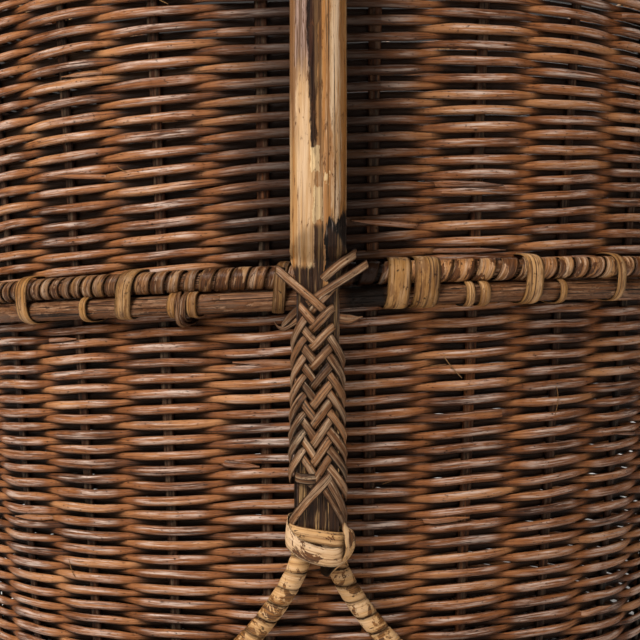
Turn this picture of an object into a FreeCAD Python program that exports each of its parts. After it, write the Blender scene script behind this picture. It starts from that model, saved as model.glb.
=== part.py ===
import FreeCAD, Part
import math
import os

# A tall round wicker carrying basket with a bent-pole hoop handle.
#
# Flat warp splits run from rim to rim: down the wall, across the base and up the other side.
# Weft splits are woven round them as the base and the wall. A ring of rod carries the base,
# three hoops finish the rim, and a belt of two rods is lashed round the outside of the wall.
# The handle is one bent pole. Each end is whittled to a tongue, which a plaited sleeve binds
# to the tops of two wrapped legs, and the legs spread down the wall to the foot ring.
#
# Millimetres and degrees. +Z is up, the basket stands on Z = 0, and the handle's ends are
# at the front (-Y) and the rear (+Y). The origin is the centre of the footprint.
# An angle round the basket is measured from the front towards +X.

V = FreeCAD.Vector
UP = V(0, 0, 1)
SIDEWAYS = V(1, 0, 0)

# --- Sizes that can be set one by one ---------------------------------------------------

base_radius = 220.0          # mid-surface of the wall where it stands on the foot ring
wall_top = 452.0             # height of the woven wall's upper edge
wall_lean = 5.0              # how far the wall leans outwards, degrees
weave_thickness = 7.0        # weft, warp and weft again
base_thickness = 8.0
weave_split_height = 229.0   # where the lower weft ends and the upper weft begins, behind the belt

splits_each_way = 7          # warp splits in each of the two crossing sets
split_width = 6.5
split_thickness = 3.0
mat_pitch = 9.4              # spacing of the splits where they cross under the centre
mat_margin = 2.6             # bare split between the crossing and the base's weft

foot_rod_radius = 7.0
foot_wear = 1.0              # how much of the foot ring's underside is worn flat
foot_inset = 3.0             # foot ring's centreline, inwards of the wall's mid-surface

belt_height = 235.0          # where the belt's two rods touch, at the front
belt_tilt = 2.3              # the belt rises towards +X by this angle
belt_upper_radius = 6.0      # over its wrapping
belt_lower_radius = 5.5

rim_hoop_radius = 5.0
rim_cane_radius = 4.0
rim_hoop_drop = 5.5          # hoops' centreline below the wall's upper edge

wrap_thickness = 1.2         # peel wound round the rods and legs
wrap_gap = 2.0               # degrees between the two ends of the belt's wrapping
lashing_thickness = 1.2
lashing_corner = 4.0         # how round a lashing's outer corners are
foot_lashing_width = 7.0
rim_lashing_width = 9.0
belt_lashing_angles = (-51, -38, -24.5, 10.5, 27.2, 39, 52, 77, 103, 129, 154, 167, -167, -141, -116, -90)
belt_lashing_widths = (7, 9, 7, 12, 9, 7, 10, 8, 9, 7, 10, 8, 9, 7, 10, 8)

pole_radius = 14.0
arch_start = 24.0            # height of the straight pole above the wall's edge before it bends
tongue_width = 24.0
tongue_thickness = 12.0
tongue_corner = 3.0
tongue_length = 120.0        # below the belt
scarf_start = 13.0           # above the belt, where the tongue begins to thicken
scarf_end = 32.0             # above the belt, where the pole is full round

plait_wall = 1.5
sleeve_back = 1.0            # plait and collar are thinner where they lie against the wall
plait_length = 99.0
collar_wall = 1.3
collar_height = 19.0
collar_half_width = 17.2     # inside

leg_radius = 5.5             # over its wrapping
leg_start = 17.0             # below the belt
leg_fork_run = 8.0           # straight stretch below the plait, before the two legs part
leg_bend_radius = 50.0
leg_spread = ((0.18, 0.05), (0.31, 0.14), (0.42, 0.25), (0.63, 0.49), (0.81, 0.73))  # shares down, out
leg_foot_angle = 26.0        # where a leg meets the foot ring, from the handle
leg_end_height = 9.0

strap_width = 6.0
strap_reach = 21.0           # sideways to where a strap hooks over the belt
strap_rise = 14.6            # above the belt at that end
strap_foot = 13.0            # below the belt and sideways at the other end
rim_tie_height = 9.0
rim_tie_drop = 15.0          # below the wall's upper edge

touch = 0.3                  # clearance between pieces that touch
snug = 0.1                   # clearance round a split inside the weave

# --- Values worked out from them --------------------------------------------------------

stake_count = 4 * splits_each_way
stake_pitch = 360.0 / stake_count
foot_height = 2 * foot_rod_radius - foot_wear
foot_ring_radius = base_radius - foot_inset
mat_half = mat_pitch * (splits_each_way - 1) / 2 + split_width / 2 + mat_margin
lower_split_height = foot_height + base_thickness / 2 - split_thickness
belt_depth = 2 * max(belt_upper_radius, belt_lower_radius)
half_weave = weave_thickness / 2
# Depths outwards from the wall's mid-surface.
belt_back = half_weave + 2 * touch
belt_front = belt_back + belt_depth
pole_back = belt_front + touch
tongue_front = pole_back + tongue_thickness
leg_depth = half_weave + touch + sleeve_back + leg_radius
core_radius = leg_radius - wrap_thickness - snug
leg_fork = leg_start + plait_length + leg_fork_run


def wall_radius(height):
    """Radius of the wall's mid-surface at a height."""
    return base_radius + (height - foot_height) * math.tan(math.radians(wall_lean))


def about_axis(shape, angle):
    """The shape turned round the basket's axis."""
    turned = shape.copy()
    turned.rotate(V(0, 0, 0), UP, angle)
    return turned


def on_wall(shape, angle, height):
    """Sets a shape made about the origin onto the wall: +X runs along the wall, -Y outwards, +Z up it."""
    placed = shape.copy()
    placed.rotate(V(0, 0, 0), SIDEWAYS, wall_lean)
    placed.translate(V(0, -wall_radius(height), height))
    return about_axis(placed, angle)


def wall_point(sideways, below, depth):
    """A point outside the front wall, that far sideways, below the belt and out from the mid-surface."""
    height = belt_height - below * math.cos(math.radians(wall_lean))
    radius = wall_radius(height) + depth
    angle = sideways / wall_radius(height)
    return V(radius * math.sin(angle), -radius * math.cos(angle), height)


def prism(points, width):
    """Extrudes a closed outline in the YZ plane, centred on X = 0."""
    outline = [V(-width / 2, y, z) for y, z in points]
    face = Part.Face(Part.makePolygon(outline + outline[:1]))
    return face.extrude(V(width, 0, 0))


def shell_of_revolution(points):
    """Turns a closed (radius, height) outline round the basket's axis."""
    outline = [V(radius, 0, height) for radius, height in points]
    face = Part.Face(Part.makePolygon(outline + outline[:1]))
    return face.revolve(V(0, 0, 0), UP, 360)


def rounded_outline(low_a, high_a, low_b, high_b, corner, point):
    """A rectangle with round corners. point(a, b) places its corners in space."""
    corner = max(0.2, min(corner, (high_a - low_a) / 2.05, (high_b - low_b) / 2.05))
    cut = corner * (1 - math.sqrt(0.5))
    edges = []
    sides = (
        ((low_a + corner, low_b), (high_a - corner, low_b), (high_a - cut, low_b + cut)),
        ((high_a, low_b + corner), (high_a, high_b - corner), (high_a - cut, high_b - cut)),
        ((high_a - corner, high_b), (low_a + corner, high_b), (low_a + cut, high_b - cut)),
        ((low_a, high_b - corner), (low_a, low_b + corner), (low_a + cut, low_b + cut)),
    )
    for number, (start, end, middle) in enumerate(sides):
        following = sides[(number + 1) % 4][0]
        edges.append(Part.LineSegment(point(*start), point(*end)).toShape())
        edges.append(Part.Arc(point(*end), point(*middle), point(*following)).toShape())
    return Part.Wire(edges)


def band(low_a, high_a, low_b, high_b, thickness, width, point, along, corner=lashing_corner):
    """A closed strip round a rectangular space, as wide as width along the direction given."""
    outside = Part.Face(rounded_outline(
        low_a - thickness, high_a + thickness, low_b - thickness, high_b + thickness, corner, point))
    inside = Part.Face(rounded_outline(low_a, high_a, low_b, high_b, corner - thickness, point))
    return outside.extrude(along * width).cut(inside.extrude(along * width))


def upright_band(back, front, low, high, width, thickness=lashing_thickness):
    """A lashing in the plane that runs outwards and up, from depth back to depth front."""
    return band(-front, -back, low, high, thickness, width,
                lambda a, b: V(-width / 2, a, b), SIDEWAYS)


def level_band(half_width, back, front, height, thickness):
    """A lashing that lies level: it goes round what is between depths back and front."""
    return band(-half_width, half_width, -front, -back, thickness, height,
                lambda a, b: V(a, b, -height / 2), UP)


# --- Warp splits --------------------------------------------------------------------------

def mitred_outline(route, width):
    """Outline of a flat strip that follows a bent route in plan."""
    left, right = [], []
    for number, point in enumerate(route):
        before = (point - route[number - 1]).normalize() if number else None
        after = (route[number + 1] - point).normalize() if number + 1 < len(route) else None
        before = before or after
        after = after or before
        side = UP.cross(before).add(UP.cross(after)).normalize()
        half = width / 2 / side.dot(UP.cross(before))
        left.append(point + side * half)
        right.append(point - side * half)
    return left + right[::-1]


def wall_split(low, high, width, thickness):
    """The upright part of a split, inside the front wall."""
    half = thickness / 2 / math.cos(math.radians(wall_lean))
    return prism([
        (-wall_radius(low) + half, low), (-wall_radius(low) - half, low),
        (-wall_radius(high) - half, high), (-wall_radius(high) + half, high),
    ], width)


def base_split(number, low, width, thickness):
    """The flat part of a split, from wall to wall across the base, along X."""
    offset = (number - (splits_each_way - 1) / 2) * mat_pitch
    angle = math.radians((number - (splits_each_way - 1) / 2) * stake_pitch)
    reach = wall_radius(low) + thickness / 2
    end = V(reach * math.cos(angle), reach * math.sin(angle), low)
    route = [V(-end.x, end.y, low), V(-mat_half, offset, low), V(mat_half, offset, low), end]
    outline = mitred_outline(route, width)
    return Part.Face(Part.makePolygon(outline + outline[:1])).extrude(UP * thickness)


def stake_angles(number):
    """Where split number's two ends stand, from +X."""
    angle = (number - (splits_each_way - 1) / 2) * stake_pitch
    return angle, 180 - angle


def warp_set(direction, low):
    """One of the two crossing sets, each split in one piece from rim to rim."""
    made = []
    for number in range(splits_each_way):
        split = base_split(number, low, split_width, split_thickness)
        for angle in stake_angles(number):
            upright = wall_split(low, wall_top, split_width, split_thickness)
            split = split.fuse(about_axis(upright, 90 + angle))
        made.append(about_axis(split.removeSplitter(), direction))
    return made


def wall_channels():
    """Room for the upright splits in the wall's weft."""
    grown = wall_split(foot_height - touch, wall_top + touch, split_width + 2 * snug, split_thickness + 2 * snug)
    return [about_axis(grown, (number + 0.5) * stake_pitch) for number in range(stake_count)]


def base_channels(direction, low):
    """Room for the flat splits in the base's weft."""
    return [
        about_axis(base_split(number, low - snug, split_width + 2 * snug, split_thickness + 2 * snug), direction)
        for number in range(splits_each_way)
    ]


warp_lower = warp_set(-45, lower_split_height)
warp_upper = warp_set(45, lower_split_height + split_thickness)

# --- Foot ring and its lashings -----------------------------------------------------------

foot_ring = Part.makeTorus(foot_ring_radius, foot_rod_radius, V(0, 0, foot_rod_radius - foot_wear))
worn_side = 2 * (base_radius + pole_radius)
foot_ring = foot_ring.cut(Part.makeBox(worn_side, worn_side, foot_rod_radius,
                                       V(-worn_side / 2, -worn_side / 2, -foot_rod_radius)))
foot_front = foot_ring_radius + foot_rod_radius + touch
foot_back = foot_ring_radius - foot_rod_radius - touch


def foot_lashing(angle, front, grow=0.0):
    """A lashing round the foot ring and over the edge of the base, from just above the floor."""
    made = upright_band(foot_back + grow, front - grow, lashing_thickness + grow,
                        foot_height + base_thickness + touch - grow,
                        foot_lashing_width + 2 * grow, lashing_thickness + 2 * grow)
    return about_axis(made, angle)


leg_foot_front = wall_radius(leg_end_height) + leg_depth + leg_radius + 2 * touch
leg_foot_angles = (leg_foot_angle, -leg_foot_angle, 180 - leg_foot_angle, 180 + leg_foot_angle)
foot_angles = [
    number * stake_pitch for number in range(stake_count)
    if number % 2 == 0 and min(abs(number * stake_pitch % 180 - leg_foot_angle),
                               abs(180 - number * stake_pitch % 180 - leg_foot_angle)) > stake_pitch / 2
]
foot_lashings = [foot_lashing(angle, foot_front) for angle in foot_angles]
leg_lashings = [foot_lashing(angle, leg_foot_front) for angle in leg_foot_angles]
foot_slots = [foot_lashing(angle, foot_front, snug) for angle in foot_angles]
foot_slots += [foot_lashing(angle, leg_foot_front, snug) for angle in leg_foot_angles]
foot_ring = foot_ring.cut(foot_slots)

# --- Belt -----------------------------------------------------------------------------------

def belt_level(angle):
    """Height of the belt at an angle."""
    radius = wall_radius(belt_height) + belt_back + belt_depth / 2
    return belt_height + radius * math.sin(math.radians(angle)) * math.sin(math.radians(belt_tilt))


def tilt_belt(shape):
    """Tilts a hoop with the belt, and moves it sideways so that it stays clear of the leaning wall."""
    tilted = shape.copy()
    tilted.rotate(V(0, 0, belt_height), V(0, 1, 0), -belt_tilt)
    slip = wall_radius(belt_height) * math.tan(math.radians(belt_tilt)) * math.tan(math.radians(wall_lean))
    tilted.translate(V(slip, 0, 0))
    return tilted


def belt_hoop(radius, above):
    """A round hoop against the wall, its centreline that far above the belt's middle."""
    ring_radius = wall_radius(belt_height + above) + belt_back + belt_depth / 2
    return tilt_belt(Part.makeTorus(ring_radius, radius, V(0, 0, belt_height + above)))


def belt_wrapping():
    """The peel round the upper rod: a thin tube whose ends nearly meet at the rear."""
    ring_radius = wall_radius(belt_height + belt_upper_radius) + belt_back + belt_depth / 2
    centre = V(0, ring_radius, belt_height + belt_upper_radius)
    outside = Part.Face(Part.Wire(Part.makeCircle(belt_upper_radius, centre, SIDEWAYS)))
    inside = Part.Face(Part.Wire(Part.makeCircle(belt_upper_radius - wrap_thickness, centre, SIDEWAYS)))
    ring = outside.cut(inside).revolve(V(0, 0, 0), UP, 360 - wrap_gap)
    ring.rotate(V(0, 0, 0), UP, wrap_gap / 2)
    return tilt_belt(ring)


def belt_lashing(angle, width, grow=0.0):
    """A lashing round both rods and through the wall."""
    made = upright_band(-half_weave - touch + grow, belt_front + 2 * touch - grow,
                        -2 * belt_lower_radius - 2 * touch + grow, 2 * belt_upper_radius + 2 * touch - grow,
                        width + 2 * grow, lashing_thickness + 2 * grow)
    droop = (belt_back + belt_depth / 2) * math.sin(math.radians(wall_lean))
    return on_wall(made, angle, belt_level(angle) + droop)


belt_upper_rod = belt_hoop(belt_upper_radius - wrap_thickness - snug, belt_upper_radius)
belt_wrap = belt_wrapping()
belt_lower_rod = belt_hoop(belt_lower_radius, -belt_lower_radius)
belt_places = list(zip(belt_lashing_angles, belt_lashing_widths))
belt_lashings = [belt_lashing(angle, width) for angle, width in belt_places]
belt_slots = [belt_lashing(angle, width, snug) for angle, width in belt_places]

# --- Rim ------------------------------------------------------------------------------------

hoop_height = wall_top - rim_hoop_drop
hoop_gap = half_weave + touch + rim_hoop_radius
rim_outer_hoop = Part.makeTorus(wall_radius(hoop_height) + hoop_gap, rim_hoop_radius, V(0, 0, hoop_height))
rim_inner_hoop = Part.makeTorus(wall_radius(hoop_height) - hoop_gap, rim_hoop_radius, V(0, 0, hoop_height))
rim_top_cane = Part.makeTorus(wall_radius(wall_top), rim_cane_radius,
                              V(0, 0, wall_top + touch + rim_cane_radius))
rim_depth = hoop_gap + rim_hoop_radius + 2 * touch


def rim_lashing(angle, grow=0.0):
    """A lashing round the three rim hoops and through the wall below them."""
    made = upright_band(-rim_depth + grow, rim_depth - grow,
                        -rim_hoop_radius - 3 * touch + grow, rim_hoop_drop + 2 * rim_cane_radius + 3 * touch - grow,
                        rim_lashing_width + 2 * grow, lashing_thickness + 2 * grow)
    return on_wall(made, angle, hoop_height)


rim_angles = [number * stake_pitch for number in range(stake_count) if number % (stake_count // 2)]
rim_lashings = [rim_lashing(angle) for angle in rim_angles]
rim_slots = [rim_lashing(angle, snug) for angle in rim_angles]

# --- Handle ---------------------------------------------------------------------------------

def handle_path():
    """Up the front, over in an arc tangent to both straight sides, and down the rear."""
    lean = math.radians(wall_lean)
    pole_depth = pole_back + pole_radius
    uphill = V(0, -math.sin(lean), math.cos(lean))
    inwards = V(0, math.cos(lean), math.sin(lean))
    at_belt = V(0, -wall_radius(belt_height), belt_height) - inwards * pole_depth
    foot = at_belt - uphill * tongue_length
    bend = at_belt + uphill * ((wall_top + arch_start - belt_height) / math.cos(lean))
    arch_radius = -bend.y / math.cos(lean)
    crown = V(0, 0, (bend + inwards * arch_radius).z + arch_radius)
    rear_bend = V(0, -bend.y, bend.z)
    rear_foot = V(0, -foot.y, foot.z)
    wire = Part.Wire([
        Part.LineSegment(foot, bend).toShape(),
        Part.Arc(bend, crown, rear_bend).toShape(),
        Part.LineSegment(rear_bend, rear_foot).toShape(),
    ])
    return wire, foot, uphill


def tongue_cutter():
    """What is whittled off the pole's end: a slope down its front, then all round a tongue."""
    front = pole_back + 2 * pole_radius + 1
    low = -tongue_length - 1
    slope = prism([(-tongue_front, low), (-front, low), (-front, scarf_end), (-tongue_front, scarf_start)],
                  2 * pole_radius + 2)
    outline = rounded_outline(-tongue_width / 2, tongue_width / 2, -tongue_front, 0, tongue_corner,
                              lambda a, b: V(a, b, low))
    tongue = Part.Face(outline).extrude(UP * (scarf_start - low))
    block = Part.makeBox(2 * pole_radius + 2, front, scarf_start - low, V(-pole_radius - 1, -front, low))
    return slope.fuse(block.cut(tongue))


pole_wire, pole_foot, pole_direction = handle_path()
pole_section = Part.Wire(Part.makeCircle(pole_radius, pole_foot, pole_direction))
handle_pole = pole_wire.makePipeShell([pole_section], True, False)
for side in (0, 180):
    handle_pole = handle_pole.cut(on_wall(tongue_cutter(), side, belt_height))

# --- Legs -------------------------------------------------------------------------------------

def leg_route(start):
    """Points down behind the tongue from a start below the belt, then outwards over the wall to the foot ring."""
    together = leg_radius + snug
    reach = math.radians(leg_foot_angle) * wall_radius(leg_end_height) - together
    drop = (belt_height - leg_end_height) / math.cos(math.radians(wall_lean)) - leg_fork
    bends = [wall_point(together + out * reach, leg_fork + down * drop, leg_depth)
             for down, out in ((0, 0),) + leg_spread + ((1, 1),)]
    return [wall_point(together, start, leg_depth)] + bends


def rod_along(points, radius):
    """A round rod along straight runs joined by tangent arcs."""
    edges = []
    begin = points[0]
    for before, corner, after in zip(points, points[1:], points[2:]):
        back = (before - corner).normalize()
        ahead = (after - corner).normalize()
        half_turn = (math.pi - back.getAngle(ahead)) / 2
        inside = (back + ahead).normalize()
        first = corner + back * (leg_bend_radius * math.tan(half_turn))
        last = corner + ahead * (leg_bend_radius * math.tan(half_turn))
        middle = corner + inside * (leg_bend_radius * (1 / math.cos(half_turn) - 1))
        edges.append(Part.LineSegment(begin, first).toShape())
        edges.append(Part.Arc(first, middle, last).toShape())
        begin = last
    edges.append(Part.LineSegment(begin, points[-1]).toShape())
    section = Part.Wire(Part.makeCircle(radius, points[0], points[1] - points[0]))
    return Part.Wire(edges).makePipeShell([section], True, False)


def leg_pieces():
    """The bare core of a leg, and the tube of peel that is wound round it below the plait."""
    core = rod_along(leg_route(leg_start), core_radius)
    wound = leg_start + plait_length + touch
    hollow = rod_along(leg_route(wound), core_radius + snug)
    peel = rod_along(leg_route(wound), leg_radius).cut(hollow)
    return core, peel


leg_core, leg_peel = leg_pieces()

# --- Plaits, collars, straps and ties at the handle's two ends ------------------------------

def sleeve(half_width, thickness, start, length):
    """A close sleeve round the tongue and the legs, from a start below the belt."""
    back = leg_depth - leg_radius - touch
    made = level_band(half_width, back, tongue_front + touch, length, thickness)
    against_wall = Part.makeBox(3 * half_width, thickness, length + 1,
                                V(-1.5 * half_width, -half_weave - touch, -(length + 1) / 2))
    made = made.cut(against_wall)
    made.translate(V(0, 0, -start - length / 2))
    return made


def plait():
    """The plaited sleeve over the tongue and the tops of the legs."""
    return sleeve(tongue_width / 2 + touch / 2, plait_wall, leg_start, plait_length)


def collar():
    """The wider band of peel below it, over the tongue's end, where the legs begin to part."""
    return sleeve(collar_half_width, collar_wall, leg_start + plait_length + touch, collar_height)


def strap(depth):
    """A diagonal strap over the tongue, hooked over the belt's upper rod."""
    top = V(-strap_reach, 0, strap_rise)
    foot = V(strap_foot, 0, -strap_foot)
    along = (foot - top).normalize()
    across = V(0, 1, 0).cross(along) * (strap_width / 2)
    corners = [top + across, foot + across, foot - across, top - across]
    outline = [V(point.x, -depth, point.z) for point in corners]
    bar = Part.Face(Part.makePolygon(outline + outline[:1])).extrude(V(0, -lashing_thickness, 0))
    hook = Part.makeBox(strap_width, depth + lashing_thickness - half_weave - touch, lashing_thickness,
                        V(-strap_reach - strap_width / 2, -depth - lashing_thickness, strap_rise))
    return bar.fuse(hook).removeSplitter()


def cross_straps():
    """Two straps, one over the other."""
    under = strap(tongue_front + touch)
    over = strap(tongue_front + touch + lashing_thickness + snug).mirror(V(0, 0, 0), SIDEWAYS)
    return [under, over]


def rim_tie(grow=0.0):
    """The band that holds the pole to the wall, just under the rim hoops."""
    made = level_band(pole_radius + touch - grow, -half_weave - touch + grow,
                      pole_back + 2 * pole_radius + touch - grow,
                      rim_tie_height + 2 * grow, lashing_thickness + 2 * grow)
    made.translate(V(0, 0, -rim_tie_drop - rim_tie_height / 2))
    return made


tie_slots = [on_wall(rim_tie(snug), side, wall_top) for side in (0, 180)]

# --- Weft ---------------------------------------------------------------------------------------

def wall_weave(low, high):
    """The woven wall between two heights, before its splits and lashings make room for themselves."""
    return shell_of_revolution([
        (wall_radius(low) - half_weave, low), (wall_radius(low) + half_weave, low),
        (wall_radius(high) + half_weave, high), (wall_radius(high) - half_weave, high),
    ])


def base_disc():
    """The woven base round the crossing of the splits."""
    top = foot_height + base_thickness
    inner = half_weave + touch
    disc = shell_of_revolution([
        (0, foot_height), (wall_radius(foot_height) - inner, foot_height),
        (wall_radius(top) - inner, top), (0, top),
    ])
    hole = Part.makeBox(2 * mat_half, 2 * mat_half, base_thickness + 2, V(-mat_half, -mat_half, foot_height - 1))
    return disc.cut(about_axis(hole, 45))


channels = wall_channels()
crossings = base_channels(-45, lower_split_height) + base_channels(45, lower_split_height + split_thickness)
lower_weave = wall_weave(foot_height, weave_split_height).cut(channels + crossings + foot_slots + belt_slots)
upper_weave = wall_weave(weave_split_height, wall_top).cut(channels + belt_slots + rim_slots + tie_slots)
base_weave = base_disc().cut(crossings + foot_slots)

# --- Files, one for each sub-part ---------------------------------------------------------------

nodes = {
    "foot_ring": [foot_ring],
    "foot_lashings": foot_lashings,
    "warp_splits_lower": warp_lower,
    "warp_splits_upper": warp_upper,
    "base_weave": [base_weave],
    "lower_weave": [lower_weave],
    "upper_weave": [upper_weave],
    "belt_upper_rod": [belt_upper_rod],
    "belt_wrap": [belt_wrap],
    "belt_lower_rod": [belt_lower_rod],
    "belt_lashings": belt_lashings,
    "rim_outer_hoop": [rim_outer_hoop],
    "rim_inner_hoop": [rim_inner_hoop],
    "rim_top_cane": [rim_top_cane],
    "rim_lashings": rim_lashings,
    "handle_pole": [handle_pole],
    "leg_foot_lashings": leg_lashings,
}
for end, side in (("front", 0), ("rear", 180)):
    nodes[end + "_plait"] = [on_wall(plait(), side, belt_height)]
    nodes[end + "_collar"] = [on_wall(collar(), side, belt_height)]
    nodes[end + "_cross_straps"] = [on_wall(piece, side, belt_height) for piece in cross_straps()]
    nodes[end + "_rim_tie"] = [on_wall(rim_tie(), side, wall_top)]
    for hand, mirrored in (("right", False), ("left", True)):
        for name, piece in (("leg", leg_core), ("leg_wrap", leg_peel)):
            sided = piece.mirror(V(0, 0, 0), SIDEWAYS) if mirrored else piece
            nodes[f"{end}_{hand}_{name}"] = [about_axis(sided, side)]

os.makedirs("parts", exist_ok=True)
for name, pieces in nodes.items():
    solids = [solid for piece in pieces for solid in piece.Solids]
    shape = solids[0] if len(solids) == 1 else Part.makeCompound(solids)
    shape.exportStep(f"parts/{name}.step")
    box = shape.BoundBox
    print(f"{name}: {len(solids)} of {len(pieces)}, valid {shape.isValid()}, volume {shape.Volume / 1000:.1f} cm3, "
          f"X {box.XMin:.1f} {box.XMax:.1f} Y {box.YMin:.1f} {box.YMax:.1f} Z {box.ZMin:.1f} {box.ZMax:.1f}")
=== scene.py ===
"""Looks of a tall round wicker basket with a lashed belt and a bent-pole handle.

Every strand is modelled: the weft of the wall and the base, the warp splits, the rods with their coils
of peel, the lashings, the plait round the handle's tongue and the wrapped legs.

Metres and radians. +Z is up, the front is -Y, and an angle round the basket runs from the front
towards +X. Depth is measured outwards from the middle of the woven wall.
"""

import math
import types

import bpy
import numpy as np
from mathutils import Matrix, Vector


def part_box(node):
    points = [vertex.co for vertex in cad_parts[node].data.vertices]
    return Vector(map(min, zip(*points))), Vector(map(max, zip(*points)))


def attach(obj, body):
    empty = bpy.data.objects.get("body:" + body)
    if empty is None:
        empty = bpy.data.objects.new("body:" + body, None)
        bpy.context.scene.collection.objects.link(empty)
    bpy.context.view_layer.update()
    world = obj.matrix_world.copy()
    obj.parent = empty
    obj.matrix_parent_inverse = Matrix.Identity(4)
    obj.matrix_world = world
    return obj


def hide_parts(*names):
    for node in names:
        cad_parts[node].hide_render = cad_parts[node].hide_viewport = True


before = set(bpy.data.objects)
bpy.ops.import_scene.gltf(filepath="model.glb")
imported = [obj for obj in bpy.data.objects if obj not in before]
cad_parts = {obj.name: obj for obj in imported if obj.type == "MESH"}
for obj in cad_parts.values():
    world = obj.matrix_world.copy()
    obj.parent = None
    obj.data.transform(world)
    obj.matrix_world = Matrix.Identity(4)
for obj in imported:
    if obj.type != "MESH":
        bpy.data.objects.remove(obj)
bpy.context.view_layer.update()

bl_info = {
    "name": "Wicker basket",
    "version": (1, 0, 0),
    "blender": (4, 5, 0),
    "location": "3D View > Sidebar > Basket",
    "description": "Builds a woven basket with a lashed belt and a hoop handle",
    "category": "Add Mesh",
}

# --- What the frame gives ----------------------------------------------------------------------

MM = 0.001
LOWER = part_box("lower_weave")
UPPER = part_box("upper_weave")
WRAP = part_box("belt_wrap")
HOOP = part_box("rim_outer_hoop")
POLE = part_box("handle_pole")
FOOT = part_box("foot_ring")

HALF_WEAVE = 3.5 * MM
PLAY = 0.1 * MM
FOOT_Z = LOWER[0].z
RIM_Z = UPPER[1].z
SLOPE = (UPPER[1].x - LOWER[1].x) / (UPPER[1].z - LOWER[1].z)
LEAN = math.atan(SLOPE)
FOOT_RADIUS = LOWER[1].x - (LOWER[1].z - FOOT_Z) * SLOPE - HALF_WEAVE
BELT_Z = (WRAP[0].z + WRAP[1].z) / 2 - 6 * MM
BELT_DEPTH = 10.1 * MM
BELT_RADIUS = FOOT_RADIUS + (BELT_Z - FOOT_Z) * SLOPE + BELT_DEPTH
BELT_TILT = math.asin((WRAP[1].z - WRAP[0].z - 12 * MM) / 2 / BELT_RADIUS)
POLE_RADIUS = POLE[1].x
POLE_DEPTH = 16.4 * MM + POLE_RADIUS
STAKES = 28
RAYS = STAKES // 4
TURN = 2 * math.pi
STAKE_STEP = TURN / STAKES
FIRST_STAKE = STAKE_STEP / 2
UP = np.array([0.0, 0.0, 1.0])


def tint(red, green, blue):
    """A colour given as it looks on a screen, 0 to 255, as the linear numbers that shaders use."""
    shown = np.array([red, green, blue]) / 255
    linear = np.where(shown < 0.04045, shown / 12.92, ((shown + 0.055) / 1.055) ** 2.4)
    return tuple(float(value) for value in linear)


def length(name, description, default):
    """A size property, given in millimetres."""
    return bpy.props.FloatProperty(name=name, description=description, default=default * MM,
                                   min=0.0, precision=4, unit="LENGTH")


def shade(name, description, red, green, blue):
    """A colour property."""
    return bpy.props.FloatVectorProperty(name=name, description=description, subtype="COLOR", size=3,
                                         default=tint(red, green, blue), min=0.0, max=1.0)


class WeaveSizes(bpy.types.PropertyGroup):
    """Sizes of the woven splits."""

    weft_width: length("Weft width", "Width of a split of weft where it passes over a stake", 4.85)
    weft_thickness: length("Weft thickness", "Thickness of a split of weft", 2.2)
    weft_swing: length("Weft swing", "How far the weft moves in and out as it passes the stakes", 2.45)
    low_pitch: length("Lower pitch", "Height of one row of weft below the belt", 4.0)
    high_pitch: length("Upper pitch", "Height of one row of weft above the belt", 4.15)
    stake_width: length("Stake width", "Width of a warp split", 6.5)
    stake_thickness: length("Stake thickness", "Thickness of a warp split", 3.0)
    base_pitch: length("Base pitch", "Distance between two rings of weft in the base", 4.2)


class BindingSizes(bpy.types.PropertyGroup):
    """Sizes of rods, peel and lashings."""

    peel: length("Peel", "Thickness of the peel that is wound round rods", 1.1)
    lashing: length("Lashing", "Thickness of the strips that tie pieces together", 1.2)
    belt_rod: length("Belt rod", "Radius of the belt's lower rod", 5.4)
    belt_core: length("Belt core", "Radius of the belt's upper rod under its peel", 4.8)
    leg_core: length("Leg core", "Radius of a leg under its peel", 4.3)


class Colours(bpy.types.PropertyGroup):
    """Colours of the cane in its different states."""

    weft_dark: shade("Dark weft", "Oldest splits of the weave", 48, 25, 13)
    weft_mid: shade("Weft", "Most of the weave", 124, 74, 40)
    weft_light: shade("Light weft", "Freshest splits of the weave", 172, 120, 78)
    # This pale colour is the tone of pale peel and of the pole, and also the painted highlight on the
    # crowns of splits.
    bleached_and_highlight: shade("Bleached peel", "Worn crowns and edges", 200, 170, 138)
    # This dark colour marks specks, cracks, char and the darker edges of wound strips, and is also painted
    # shade in the weave: where a strand dives, on faces turned into the weave and on lower edges.
    soot_and_shade: shade("Grime", "What has settled in the gaps", 13, 7, 4)
    plait: shade("Plait", "Strands of the plait", 100, 66, 40)
    peel_pale: shade("Pale peel", "Peeled cane of the collar and legs", 184, 141, 92)
    peel_mid: shade("Peel", "Browner stretches of pale peel", 146, 98, 58)
    bark: shade("Bark", "Bark left on the cane", 92, 54, 27)
    pole_pale: shade("Pole", "Peeled pole", 166, 128, 86)
    pole_gold: shade("Golden pole", "Golden stretches of the pole", 140, 88, 34)


# --- Numbers that waver ------------------------------------------------------------------------

def waver(x, seed, rate=1.0, detail=4, whole=False):
    """Smooth noise about zero: sines with seeded phases, each about twice as fine as the last and 0.6
    as high. Whole rates make it close on itself over a full turn."""
    draw = np.random.default_rng(seed)
    total = np.zeros(np.broadcast(x).shape)
    for octave in range(detail):
        speed = rate * 2.0 ** octave * draw.uniform(0.8, 1.25)
        speed = max(1.0, round(speed)) if whole else speed
        total = total + 0.6 ** octave * np.sin(speed * x + draw.uniform(0, TURN))
    return total / 1.7


def ease(low, high, x):
    """0 below low, 1 above high, and a smooth rise of 3t^2 - 2t^3 between them."""
    t = np.clip((x - low) / (high - low), 0.0, 1.0)
    return t * t * (3 - 2 * t)


def squared(values, power):
    """Each value at that power, with its own sign: it turns a circle into a rounded square."""
    return np.sign(values) * np.abs(values) ** power


def unit(vectors):
    """The vectors at length 1."""
    return vectors / np.maximum(np.linalg.norm(vectors, axis=-1, keepdims=True), 1e-12)


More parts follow.
